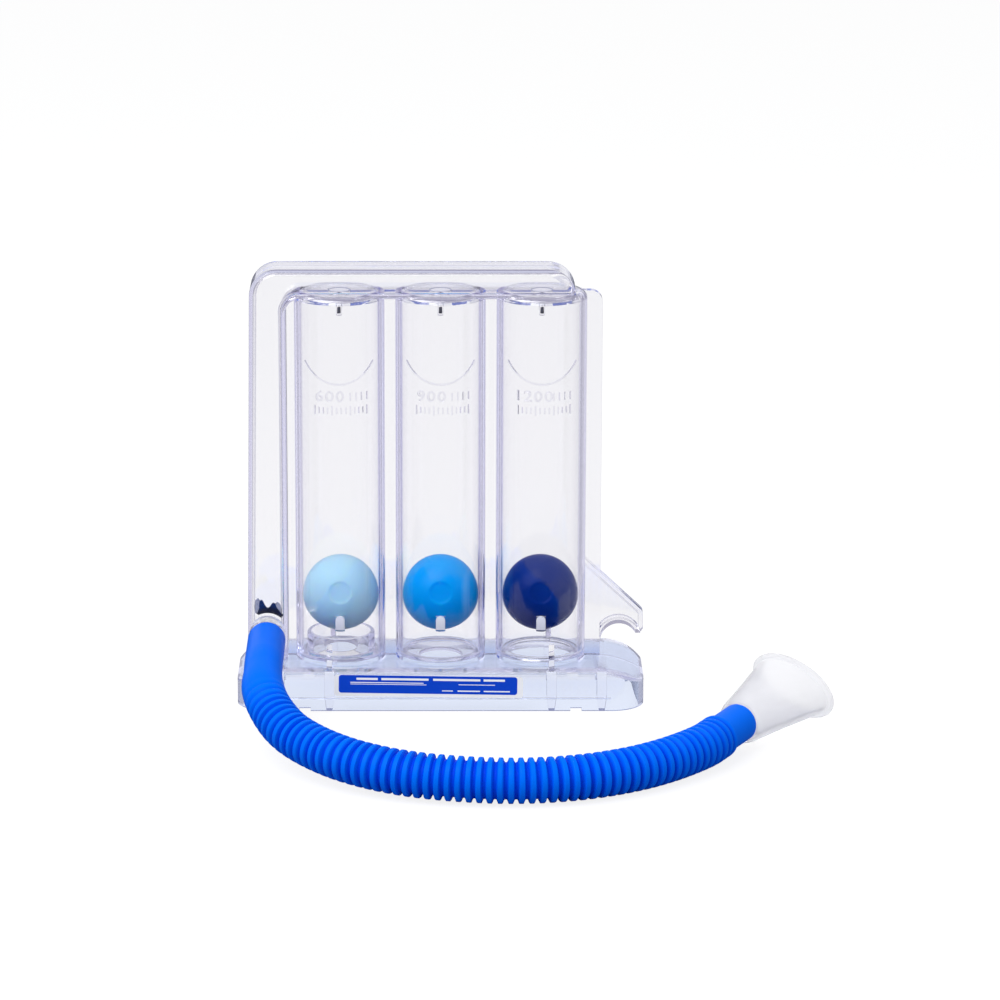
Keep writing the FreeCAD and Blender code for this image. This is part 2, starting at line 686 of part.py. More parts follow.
def label():
    """Sticker on the leaning front wall of the base, put on slightly crooked."""
    half = LABEL_WIDTH / 2
    tall = LABEL_HEIGHT / 2
    places = ((-half, -tall), (half, -tall), (half, tall), (-half, tall))
    corners = [(V(x, 0, z), LABEL_CORNER) for x, z in places]
    sheet = Part.Face(rounded_wire(corners)).extrude(V(0, -LABEL_THICKNESS, 0))
    sheet.rotate(V(0, 0, 0), V(0, 1, 0), LABEL_TURN)
    lean = math.degrees(math.atan2(BASE_LEAN, BASE_TOP - BASE_FOOT))
    sheet.rotate(V(0, 0, 0), V(1, 0, 0), -lean)
    middle_z = BASE_FOOT + LABEL_LIFT + tall
    middle_y = -BASE_FRONT + BASE_LEAN * (middle_z - BASE_FOOT) / (BASE_TOP - BASE_FOOT)
    sheet.translate(V(LABEL_X, middle_y, middle_z))
    return sheet


def build():
    """All pieces by name."""
    body = whole_body()
    mouth_axis = mouthpiece_placement()[1]
    mouth_end = V(*HOSE_END) + mouth_axis * CUFF_LENGTH
    port_start = V(PORT_X, CUFF_START, PORT_HEIGHT)
    return {
        "front_shell": shell_half(body, -1),
        "rear_shell": shell_half(body, 1),
        "low_flow_ball": ball(CHAMBER_CENTRES[0]),
        "mid_flow_ball": ball(CHAMBER_CENTRES[1]),
        "high_flow_ball": ball(CHAMBER_CENTRES[2]),
        "low_flow_disc": low_flow_disc(),
        "mid_flow_disc": mid_flow_disc(),
        "high_flow_disc": high_flow_disc(),
        "hose_port": hose_port(),
        "port_cuff": cuff(port_start, V(0, -1, 0)),
        "hose_tube": hose_tube(),
        "mouthpiece_cuff": cuff(mouth_end, mouth_axis * -1),
        "mouthpiece": mouthpiece(),
        "label": label(),
    }


os.makedirs("parts", exist_ok=True)
for name, shape in build().items():
    print(name, "solids", len(shape.Solids), "valid", shape.isValid(), "volume", round(shape.Volume))
    shape.exportStep("parts/" + name + ".step")
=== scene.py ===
import math
import bmesh
import bpy
from mathutils import Matrix, Vector


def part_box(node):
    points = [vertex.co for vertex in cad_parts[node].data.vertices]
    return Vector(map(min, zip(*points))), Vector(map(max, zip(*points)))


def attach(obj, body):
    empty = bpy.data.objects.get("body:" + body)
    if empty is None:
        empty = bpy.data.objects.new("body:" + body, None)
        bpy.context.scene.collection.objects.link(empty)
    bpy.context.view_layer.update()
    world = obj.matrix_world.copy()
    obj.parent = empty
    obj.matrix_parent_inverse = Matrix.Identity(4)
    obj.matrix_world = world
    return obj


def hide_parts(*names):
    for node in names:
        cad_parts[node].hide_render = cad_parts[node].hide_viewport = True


bl_info = {
    "name": "Incentive spirometer",
    "version": (1, 0, 0),
    "blender": (4, 5, 0),
    "location": "3D View > Sidebar > Spirometer",
    "description": "Clear three-chamber breathing trainer with its hose and mouthpiece",
    "category": "Object",
}

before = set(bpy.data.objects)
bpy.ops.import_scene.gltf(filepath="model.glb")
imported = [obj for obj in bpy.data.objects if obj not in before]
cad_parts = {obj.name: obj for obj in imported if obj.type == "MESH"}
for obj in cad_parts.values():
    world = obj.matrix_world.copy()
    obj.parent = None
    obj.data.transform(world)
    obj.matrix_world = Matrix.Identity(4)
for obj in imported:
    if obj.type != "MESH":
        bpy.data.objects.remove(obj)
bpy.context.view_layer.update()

MM = 0.001
UP = Vector((0.0, 0.0, 1.0))
LOOKED_AT = Vector((0.0, 0.0, 0.072))
ROUND = [2 * math.pi * side / 96 for side in range(96)]
SOFT_CORNER = 0.3 * MM
CHAMBER_PITCH = 33.0 * MM
CHAMBER_RADII = (12.8 * MM, 14.8 * MM)
CHAMBER_NODES = ("low_flow_ball", "mid_flow_ball", "high_flow_ball")
CHAMBER_NUMBERS = ("600", "900", "1200")

# The hose's route in metres, as in the part's source: the port cuff's open end and inner end,
# the points between, and the mouthpiece cuff's inner end.
ROUTE = (
    (-0.057, -0.01755, 0.0232),
    (-0.057, -0.03455, 0.0232),
    (-0.057, -0.0475, 0.0232),
    (-0.0569, -0.0639, 0.0191),
    (-0.0499, -0.0804, 0.0132),
    (-0.0405, -0.0915, 0.0105),
    (-0.0281, -0.1029, 0.0091),
    (-0.0118, -0.1112, 0.008),
    (0.006, -0.1148, 0.0073),
    (0.0245, -0.1165, 0.0072),
    (0.0425, -0.1132, 0.0072),
    (0.0585, -0.1056, 0.0072),
    (0.0714, -0.0952, 0.0072),
    (0.08285, -0.08215, 0.00739),
    (0.08683, -0.07522, 0.00773),
)

# Clear edges take these tones from light that is mirrored several times inside the plastic.
WHITE = (1.0, 1.0, 1.0, 1.0)
EDGE_TONE = (0.43, 0.42, 0.51, 1.0)
DEEP_TONE = (0.86, 0.85, 0.96, 1.0)
INSIDE_TURNS = 2.5


def a_length(name, about, millimetres):
    """Setting for a length."""
    return bpy.props.FloatProperty(name=name, description=about, unit="LENGTH", default=millimetres * MM)


def an_angle(name, about, degrees):
    """Setting for an angle."""
    return bpy.props.FloatProperty(
        name=name, description=about, subtype="ANGLE", default=math.radians(degrees))


def a_colour(name, about, *channels):
    """Setting for a colour."""
    return bpy.props.FloatVectorProperty(
        name=name, description=about, subtype="COLOR", size=3, min=0.0, max=1.0, default=channels)


def a_number(name, about, default, subtype="NONE"):
    """Setting for a plain number."""
    return bpy.props.FloatProperty(name=name, description=about, subtype=subtype, default=default)


class ClearPlastic(bpy.types.PropertyGroup):
    tint: a_colour("Tint", "Colour that the plastic lets through over a long way", 0.5, 0.45, 0.68)
    density: a_number("Tint density", "How fast the tint builds up in the wall, per metre", 26.0)
    # Painted reflection: the base's bluish colour stands for the blue label and hose mirrored in its walls.
    base_painted_reflection: a_colour("Base tint", "Colour that each wall of the base lets through", 0.82, 0.88, 1.0)
    bend: a_number("Refraction", "Index of refraction of clear styrene", 1.55)
    mark_bend: a_number(
        "Marks' refraction", "Index of refraction that sets how strongly the marks show", 1.28)
    # The weld seams are painted reflections: blue slabs for a streak mirrored under the chamber tops.
    thin_bend: a_number("Thin trim's refraction", "Index of refraction of the weld seams and tabs", 1.2)
    roughness: a_number("Roughness", "Haze of the moulded surface", 0.03, "FACTOR")
    parting_gap: a_length("Parting gap", "Hair line between the two shells", 0.02)


class Markings(bpy.types.PropertyGroup):
    relief: a_length("Relief", "Height of the raised marks", 0.28)
    chamber_radius: a_length("Chamber radius", "Outside of a chamber", 14.8)
    arc_radius: a_length("Arc radius", "Radius of the raised arc", 12.0)
    arc_height: a_length("Arc height", "Lowest point of the arc above the table", 108.6)
    arc_half_angle: an_angle("Arc half angle", "Half of the arc's sweep", 66.0)
    arc_width: a_length("Arc width", "Width of the arc's line", 0.7)
    number_height: a_length("Number height", "Middle of the numbers above the table", 104.5)
    number_size: a_length("Number size", "Size of the numbers' type", 4.9)
    number_shift: a_length("Number shift", "Middle of the numbers from the chamber's middle", -3.0)
    tick_height: a_length("Tick height", "Middle of the row of ticks above the table", 99.9)
    tick_count: bpy.props.IntProperty(
        name="Ticks", description="Ticks in the row under the numbers", default=13)
    tick_pitch: a_length("Tick pitch", "Space between ticks", 1.5)
    tick_start: a_length("Tick start", "First tick from the chamber's middle", -8.2)
    tick_width: a_length("Tick width", "Width of a tick's line", 0.55)


class Balls(bpy.types.PropertyGroup):
    spot_radius: a_length("Spot radius", "Radius of the flat spot", 3.83)
    spot_depth: a_length("Spot depth", "How far the flat spot is sunk", 0.25)
    spot_tilt: an_angle("Spot tilt", "How far the spot looks up", 14.0)
    pale: a_colour("Pale blue", "Colour of the first ball", 0.5, 0.8, 0.95)
    azure: a_colour("Azure", "Colour of the second ball", 0.0, 0.4, 1.0)
    navy: a_colour("Navy", "Colour of the third ball", 0.0003, 0.022, 0.2)


class Hose(bpy.types.PropertyGroup):
    crest_radius: a_length("Crest radius", "Radius over the ribs", 7.15)
    valley_radius: a_length("Valley radius", "Radius between the ribs", 5.75)
    cuff_radius: a_length("Cuff radius", "Radius of the smooth ends", 6.2)
    bore_radius: a_length("Bore radius", "Radius of the hole through the hose", 4.95)
    rib_pitch: a_length("Rib pitch", "From one rib to the next", 3.15)
    port_smooth: a_length("Port smooth", "Length without ribs at the port", 45.0)
    mouth_smooth: a_length("Mouth smooth", "Length without ribs at the mouthpiece", 13.0)
    blend_length: a_length("Blend length", "Length over which the ribs grow to full height", 20.0)
    skin_step: a_length("Skin step", "Space between the rings of points of the skin", 0.28)
    bore_step: a_length("Bore step", "Space between the rings of points of the bore", 3.0)
    crest_blue: a_colour("Crest blue", "Colour of the ribs and the smooth ends", 0.0, 0.15, 0.92)
    # Painted shade: the darker valley blue stands for the shade between the ribs.
    valley_painted_shade: a_colour(
        "Valley blue", "Colour between the ribs, where the wall is thicker", 0.0, 0.06, 0.74)


class Mouthpiece(bpy.types.PropertyGroup):
    heading: an_angle("Heading", "Direction over the table, from +X towards +Y", 60.1)
    pitch: an_angle("Pitch", "Rise of the axis", 2.46)
    roll: an_angle("Roll", "Turn of the oval lip about the axis", 23.7)
    length: a_length("Length", "From the cuff to the lip", 41.7)
    neck: a_length("Neck", "Diameter at the cuff", 15.0)
    lip_width: a_length("Lip width", "Longer way across the lip", 30.4)
    lip_height: a_length("Lip height", "Shorter way across the lip", 17.2)
    wall: a_length("Wall", "Thickness of the wall", 1.4)
    bead: a_length("Bead", "How far the lip's bead stands out", 1.1)
    cuff_length: a_length("Cuff length", "Length of the hose's smooth end", 17.0)
    colour: a_colour("Milky colour", "Colour of the milky plastic", 0.9, 0.9, 0.925)


class Label(bpy.types.PropertyGroup):
    blue: a_colour("Print blue", "Colour of the printed field", 0.0, 0.058, 0.6)
    turn: an_angle("Turn", "How crooked the label is put on", 0.8)


class Stage(bpy.types.PropertyGroup):
    distance: a_length("Camera distance", "From the camera to the object", 1500.0)
    elevation: an_angle("Camera elevation", "Angle above the horizon", 14.5)
    lens: a_number("Lens", "Focal length in millimetres on a 36 mm sensor", 164.16)
    shift_x: a_number("Shift across", "Framing of the picture across", 0.0595)
    shift_y: a_number("Shift up", "Framing of the picture upwards", -0.0172)
    fill: a_number("Fill light", "Strength of the room's even light", 0.58)


SETTINGS = {
    "clear_plastic": ClearPlastic,
    "markings": Markings,
    "balls": Balls,
    "hose": Hose,
    "mouthpiece": Mouthpiece,
    "label": Label,
    "stage": Stage,
}


def settings(name):
    """The property group of that name on the scene."""
    return getattr(bpy.context.scene, "spirometer_" + name)


def centre_of(node):
    """Middle of a node's box."""
    low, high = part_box(node)
    return (low + high) / 2


def spread(start, end, steps):
    """Evenly spaced values from a start to an end."""
    return [start + (end - start) * step / steps for step in range(steps + 1)]


def new_material(name):
    """Empty node material and its node tree."""
    material = bpy.data.materials.new(name)
    material.use_nodes = True
    material.node_tree.nodes.clear()
    return material, material.node_tree


def add_node(tree, kind, given=None, **traits):
    """Node of a kind, with its traits set and each given input set, or linked if a socket is given."""
    node = tree.nodes.new(kind)
    for trait, value in traits.items():
        setattr(node, trait, value)
    for name, value in (given or {}).items():
        if isinstance(value, bpy.types.NodeSocket):
            tree.links.new(value, node.inputs[name])
        else:
            node.inputs[name].default_value = value
    return node


def maths(tree, operation, first, second=0.0):
    """Result of a sum on one or two values."""
    return add_node(tree, "ShaderNodeMath", {0: first, 1: second}, operation=operation).outputs[0]


def larger(tree, first, second):
    """The larger of two values."""
    return maths(tree, "MAXIMUM", first, second)


def product(tree, first, *others):
    """Product of values."""
    for other in others:
        first = maths(tree, "MULTIPLY", first, other)
    return first


def step_over(tree, value, start, end, low=0.0, high=1.0):
    """Smooth step of a value between a start and an end."""
    given = {"Value": value, "From Min": start, "From Max": end, "To Min": low, "To Max": high}
    return add_node(tree, "ShaderNodeMapRange", given, interpolation_type="SMOOTHSTEP").outputs["Result"]


def blended(tree, share, first, second):
    """Colour between two colours."""
    given = {"A": first, "B": second, "Factor": share}
    return add_node(tree, "ShaderNodeMix", given, data_type="RGBA").outputs["Result"]


def blended_shader(tree, share, first, second):
    """Shader between two shaders."""
    return add_node(tree, "ShaderNodeMixShader", {"Fac": share, 1: first, 2: second}).outputs["Shader"]


def add_noise(tree, scale, detail=2.0):
    """Noise in the object's own space."""
    place = add_node(tree, "ShaderNodeTexCoord").outputs["Object"]
    given = {"Scale": scale, "Detail": detail, "Vector": place}
    return add_node(tree, "ShaderNodeTexNoise", given).outputs["Fac"]


def uneven(tree, scale, low, high):
    """Noise between two limits."""
    given = {"Value": add_noise(tree, scale), "To Min": low, "To Max": high}
    return add_node(tree, "ShaderNodeMapRange", given).outputs["Result"]


def grained(tree, scale, detail, depth):
    """Bump of a fine grain."""
    given = {"Height": add_noise(tree, scale, detail), "Distance": depth}
    return add_node(tree, "ShaderNodeBump", given).outputs["Normal"]


def mottled(tree, colour, scale, dark, pale):
    """A colour that wavers over the surface between a darker and a paler share of itself."""
    shades = [(*[min(1.0, channel * share) for channel in colour], 1.0) for share in (dark, pale)]
    return blended(tree, add_noise(tree, scale, 4.0), *shades)


def light_path(tree, name):
    """One fact of the path that the light came by."""
    return add_node(tree, "ShaderNodeLightPath").outputs[name]


def seen_directly(tree):
    """1 for what the camera sees, straight or through clear plastic, and 0 for other light."""
    return larger(tree, light_path(tree, "Is Camera Ray"), light_path(tree, "Is Transmission Ray"))


def turned_back(tree, turns):
    """1 for light that has been mirrored more than so many times."""
    return maths(tree, "GREATER_THAN", light_path(tree, "Glossy Depth"), turns)


def passes_straight(tree):
    """1 for lamp light, diffuse light and light that has been turned back three times in a wall."""
    soft = larger(tree, light_path(tree, "Is Shadow Ray"), light_path(tree, "Is Diffuse Ray"))
    return larger(tree, soft, turned_back(tree, INSIDE_TURNS))


def edge_toned(tree, plain, turns):
    """A plain colour, or the tone of an edge for light that has been mirrored more than so many times."""
    tone = blended(tree, turned_back(tree, turns), plain, EDGE_TONE)
    return blended(tree, turned_back(tree, turns + 1.0), tone, DEEP_TONE)


def object_place(tree):
    """X, Y and Z in the object's own space."""
    place = add_node(tree, "ShaderNodeTexCoord").outputs["Object"]
    return add_node(tree, "ShaderNodeSeparateXYZ", {"Vector": place}).outputs


def soft_edges(tree):
    """Where the moulding's rounds are too soft to draw a line: the chambers' tops inside the duct and
    the long edges on top of the base."""
    x, y, z = object_place(tree)
    chamber_top = step_over(tree, z, 0.1325, 0.1345, 0.0, 0.8)
    behind_front = step_over(tree, y, 0.0035, 0.006)
    under_roof = step_over(tree, z, 0.1374, 0.138, 1.0, 0.0)
    between_ends = step_over(tree, maths(tree, "ABSOLUTE", x), 0.047, 0.0485, 1.0, 0.0)
    inside_duct = product(tree, chamber_top, behind_front, under_roof, between_ends)
    over_base_wall = step_over(tree, z, 0.0095, 0.0115, 0.0, 0.6)
    under_base_top = step_over(tree, z, 0.0138, 0.0145, 1.0, 0.0)
    far_out = step_over(tree, maths(tree, "ABSOLUTE", y), 0.0155, 0.017)
    return larger(tree, inside_duct, product(tree, over_base_wall, under_base_top, far_out))


def base_painted_reflection(tree, tint):
    """Clear on the chambers and bluish in the base: a painted reflection of the blue label and hose."""
    above_base = step_over(tree, object_place(tree)[2], 0.011, 0.019)
    return blended(tree, above_base, (*tint, 1.0), WHITE)


def clear_plastic(name, bend, tinted=True, moulded=False, colour=(1.0, 1.0, 1.0)):
    """Clear moulded styrene. Lamps reach what is behind it."""
    look = settings("clear_plastic")
    haze = look.roughness
    material, tree = new_material(name)
    shader = add_node(tree, "ShaderNodeBsdfPrincipled", {
        "Base Color": (*colour, 1.0),
        "Transmission Weight": 1.0,
        "IOR": bend,
        "Roughness": uneven(tree, 90.0, haze * 0.4, haze * 1.6),
        "Normal": grained(tree, 35.0, 2.0, 0.03 * MM),
    })
    straight = passes_straight(tree)
    if moulded:
        straight = larger(tree, straight, soft_edges(tree))
        # Painted reflection: the base's walls let through a blue that stands for the label and hose mirrored
        # in them.
        tree.links.new(base_painted_reflection(tree, look.base_painted_reflection), shader.inputs["Base Color"])
    passing = add_node(tree, "ShaderNodeBsdfTransparent", {"Color": (0.94, 0.945, 0.975, 1.0)})
    finish = {"Surface": blended_shader(tree, straight, shader.outputs["BSDF"], passing.outputs["BSDF"])}
    if tinted:
        absorbed = {"Color": (*look.tint, 1.0), "Density": look.density}
        finish["Volume"] = add_node(tree, "ShaderNodeVolumeAbsorption", absorbed).outputs["Volume"]
    add_node(tree, "ShaderNodeOutputMaterial", finish)
    return material


def moulded_plastic(name, colour, low_gloss, high_gloss, grain, depth, inner_light=0.0, sheen=0.25):
    """Coloured plastic with a little mottling, an uneven gloss and a fine grain."""
    material, tree = new_material(name)
    shader = add_node(tree, "ShaderNodeBsdfPrincipled", {
        "Base Color": mottled(tree, colour, 140.0, 0.93, 1.05),
        "Roughness": uneven(tree, 60.0, low_gloss, high_gloss),
        "Normal": grained(tree, grain, 3.0, depth),
        "Subsurface Weight": inner_light,
        "Subsurface Radius": (0.2, 0.5, 1.0),
        "Subsurface Scale": 7.0 * MM,
        "IOR": 1.5,
        "Specular IOR Level": sheen,
    })
    add_node(tree, "ShaderNodeOutputMaterial", {"Surface": shader.outputs["BSDF"]})
    return material


def hose_plastic(name, crest, valley):
    """Blue satin plastic, with painted shade that darkens it between the ribs."""
    material, tree = new_material(name)
    rib = add_node(tree, "ShaderNodeAttribute", attribute_name="rib").outputs["Fac"]
    shader = add_node(tree, "ShaderNodeBsdfPrincipled", {
        "Base Color": blended(tree, rib, (*valley, 1.0), (*crest, 1.0)),
        "Roughness": uneven(tree, 60.0, 0.3, 0.42),
        "Normal": grained(tree, 700.0, 3.0, 0.02 * MM),
        "IOR": 1.5,
        "Specular IOR Level": 0.02,
    })
    add_node(tree, "ShaderNodeOutputMaterial", {"Surface": shader.outputs["BSDF"]})
    return material


def milky_plastic(name, colour):
    """Milky soft plastic: frosted, so that light glows through its thin wall."""
    material, tree = new_material(name)
    shader = add_node(tree, "ShaderNodeBsdfPrincipled", {
        "Base Color": mottled(tree, colour, 110.0, 0.98, 1.01),
        "Roughness": uneven(tree, 80.0, 0.3, 0.38),
        "Normal": grained(tree, 900.0, 3.0, 0.02 * MM),
        "Transmission Weight": 0.6,
        "Subsurface Weight": 1.0,
        "Subsurface Radius": (1.0, 1.0, 1.0),
        "Subsurface Scale": 3.0 * MM,
        "IOR": 1.05,
    })
    passing = add_node(tree, "ShaderNodeBsdfTransparent", {"Color": (0.965, 0.965, 0.98, 1.0)})
    thin = larger(tree, passes_straight(tree), uneven(tree, 60.0, 0.36, 0.44))
    glow = blended_shader(tree, thin, shader.outputs["BSDF"], passing.outputs["BSDF"])
    add_node(tree, "ShaderNodeOutputMaterial", {"Surface": glow})
    return material


def put_in_scene(name, data):
    """New object in the scene for a mesh, curve, lamp or camera."""
    item = bpy.data.objects.new(name, data)
    bpy.context.scene.collection.objects.link(item)
    return item


def plain_mesh(holder):
    """Mesh of an object as its curve and modifiers leave it."""
    bpy.context.view_layer.update()
    depsgraph = bpy.context.evaluated_depsgraph_get()
    return bpy.data.meshes.new_from_object(holder.evaluated_get(depsgraph))


def add_piece(name, mesh, material, body, slot, *replaced):
    """Puts a finished mesh in the scene, on its body and in place of the nodes that it replaces."""
    piece = put_in_scene(name, mesh)
    mesh.materials.clear()
    mesh.materials.append(material)
    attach(piece, body)
    if replaced:
        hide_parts(*replaced)
    return piece


def mesh_from(work, name, sharp_degrees=None):
    """Mesh from a bmesh, smooth up to an angle between faces."""
    mesh = bpy.data.meshes.new(name)
    work.to_mesh(mesh)
    work.free()
    mesh.shade_smooth()
    if sharp_degrees is not None:
        mesh.set_sharp_from_angle(angle=math.radians(sharp_degrees))
    return mesh


def join_loops(work, loop, following):
    """Band of faces between two closed loops of points."""
    corners = zip(loop, loop[1:] + loop[:1], following[1:] + following[:1], following)
    return [work.faces.new(face) for face in corners]


def rings_to_mesh(name, rings, sharp_degrees):
    """Closed tube through rings of points, where the last ring joins the first."""
    work = bmesh.new()
    loops = [[work.verts.new(point) for point in ring] for ring in rings]
    for loop, following in zip(loops, loops[1:] + loops[:1]):
        join_loops(work, loop, following)
    bmesh.ops.recalc_face_normals(work, faces=work.faces)
    return mesh_from(work, name, sharp_degrees)


def rounded_profile(corners, radius, steps=4):
    """Closed (radius, height) outline with every corner rounded."""
    points = []
    for index, place in enumerate(corners):
        corner = Vector(place)
        back = Vector(corners[index - 1]) - corner
        ahead = Vector(corners[(index + 1) % len(corners)]) - corner
        reach = min(radius, 0.45 * back.length, 0.45 * ahead.length)
        start = corner + back.normalized() * reach
        end = corner + ahead.normalized() * reach
        for share in spread(0.0, 1.0, steps):
            points.append(start.lerp(corner, share).lerp(corner.lerp(end, share), share))
    return points


def rings_about(centre, axis, profile):
    """Rings of points from a (radius, height) outline about an axis through a centre."""
    turn = axis.to_track_quat("Z", "Y").to_matrix()
    return [[centre + turn @ Vector((radius * math.cos(angle), radius * math.sin(angle), height))
             for angle in ROUND] for radius, height in profile]


def turned(name, profile, centre, axis):
    """Ring turned from a closed (radius, height) outline about an axis through a centre."""
    return rings_to_mesh(name, rings_about(centre, axis, profile), 35)


def flat_regions(work):
    """Regions of coplanar faces that are wide enough to be flat walls, as a normal by face index."""
    same_plane = math.cos(math.radians(0.15))
    least_width = 2.2 * MM
    seen = set()
    flat = {}
    for start in work.faces:
        if start.index in seen:
            continue
        seen.add(start.index)
        region = [start]
        for face in region:
            for edge in face.edges:
                for neighbour in edge.link_faces:
                    if neighbour.index not in seen and neighbour.normal.dot(start.normal) > same_plane:
                        seen.add(neighbour.index)
                        region.append(neighbour)
        area = sum(face.calc_area() for face in region)
        longest = max(edge.calc_length() for face in region for edge in face.edges)
        if area / longest > least_width:
            for face in region:
                flat[face.index] = start.normal.copy()
    return flat


def round_wall_normal(face, vertex):
    """Exact normal of a chamber's round wall at a vertex, or None when the face isn't on one."""
    steepest = 0.1
    tolerance = 0.03 * MM
    if abs(face.normal.z) > steepest:
        return None
    middle = face.calc_center_median()
    centre = Vector((CHAMBER_PITCH * round(middle.x / CHAMBER_PITCH), 0.0))
    for radius in CHAMBER_RADII:
        if all(abs((corner.co.xy - centre).length - radius) < tolerance for corner in face.verts):
            radial = (vertex.co.xy - centre).normalized().to_3d()
            return radial if radial.dot(face.normal) > 0 else -radial
    return None


def true_normals(work):
    """Corner normals: exact on flat and round walls, weighted by area on the small rounds between."""
    blend = math.cos(math.radians(33))
    flat = flat_regions(work)
    exact = {}
    for face in work.faces:
        for vertex in face.verts:
            known = flat[face.index] if face.index in flat else round_wall_normal(face, vertex)
            if known is not None:
                exact[face.index, vertex.index] = known
    normals = []
    for face in work.faces:
        for vertex in face.verts:
            known = exact.get((face.index, vertex.index))
            if known is None:
                near = [other for other in vertex.link_faces if other.normal.dot(face.normal) > blend]
                sure = [exact[other.index, vertex.index] for other in near
                        if (other.index, vertex.index) in exact]
                total = sum(sure or [other.normal * other.calc_area() for other in near], Vector())
                known = total.normalized() if total.length > 0 else face.normal.copy()
            normals.append(known)
    return normals


def shell_copy(node, name, side):
    """The moulded shell's own surface, merged and shaded true, a hair behind the parting plane."""
    gap = settings("clear_plastic").parting_gap / 2
    same_place = 1e-6
    work = bmesh.new()
    work.from_mesh(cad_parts[node].data)
    bmesh.ops.remove_doubles(work, verts=work.verts, dist=same_place)
    bmesh.ops.dissolve_degenerate(work, edges=work.edges, dist=same_place)
    work.faces.ensure_lookup_table()
    work.faces.index_update()
    work.verts.index_update()
    normals = true_normals(work)
    for vertex in work.verts:
        if abs(vertex.co.y) < same_place:
            vertex.co.y = side * gap
    mesh = mesh_from(work, name)
    mesh.normals_split_custom_set(normals)
    return mesh


def on_chamber(centre_x, across, up, out):
    """Point on the front of a chamber: across and up its face, and out from it."""
    radius = settings("markings").chamber_radius
    angle = across / radius
    reach = radius + out
    return Vector((centre_x + reach * math.sin(angle), -reach * math.cos(angle), up))


def raised_strip(work, centre_x, path, width, height):
    """Raised line with sloping sides that follows (across, up) points over a chamber's face."""
    stand_off = 0.01 * MM
    section = ((-0.5, stand_off), (-0.28, height), (0.28, height), (0.5, stand_off))
    loops = []
    for index, (across, up) in enumerate(path):
        before = path[max(index - 1, 0)]
        after = path[min(index + 1, len(path) - 1)]
        along = Vector((after[0] - before[0], after[1] - before[1])).normalized()
        loop = []
        for share, out in section:
            shift = share * width
            point = on_chamber(centre_x, across - along.y * shift, up + along.x * shift, out)
            loop.append(work.verts.new(point))
        loops.append(loop)
    for loop, following in zip(loops, loops[1:]):
        join_loops(work, loop, following)
    work.faces.new(loops[0][::-1])
    work.faces.new(loops[-1])


def number_mesh(text, centre_x):
    """Raised number on the front of a chamber."""
    marks = settings("markings")
    stand_off = 0.01 * MM
    widened = 1.2
    curve = bpy.data.curves.new("number_" + text, "FONT")
    curve.body = text
    curve.size = marks.number_size
    curve.space_character = 1.15
    curve.align_x = "CENTER"
    curve.align_y = "CENTER"
    curve.extrude = marks.relief / 2
    curve.bevel_depth = 0.06 * MM
    curve.resolution_u = 6
    holder = put_in_scene("number_curve", curve)
    mesh = plain_mesh(holder)
    bpy.data.objects.remove(holder)
    lowest = min(vertex.co.z for vertex in mesh.vertices)
    for vertex in mesh.vertices:
        across, up, out = vertex.co
        vertex.co = on_chamber(centre_x, widened * across + marks.number_shift,
                               marks.number_height + up, out - lowest + stand_off)
    return mesh


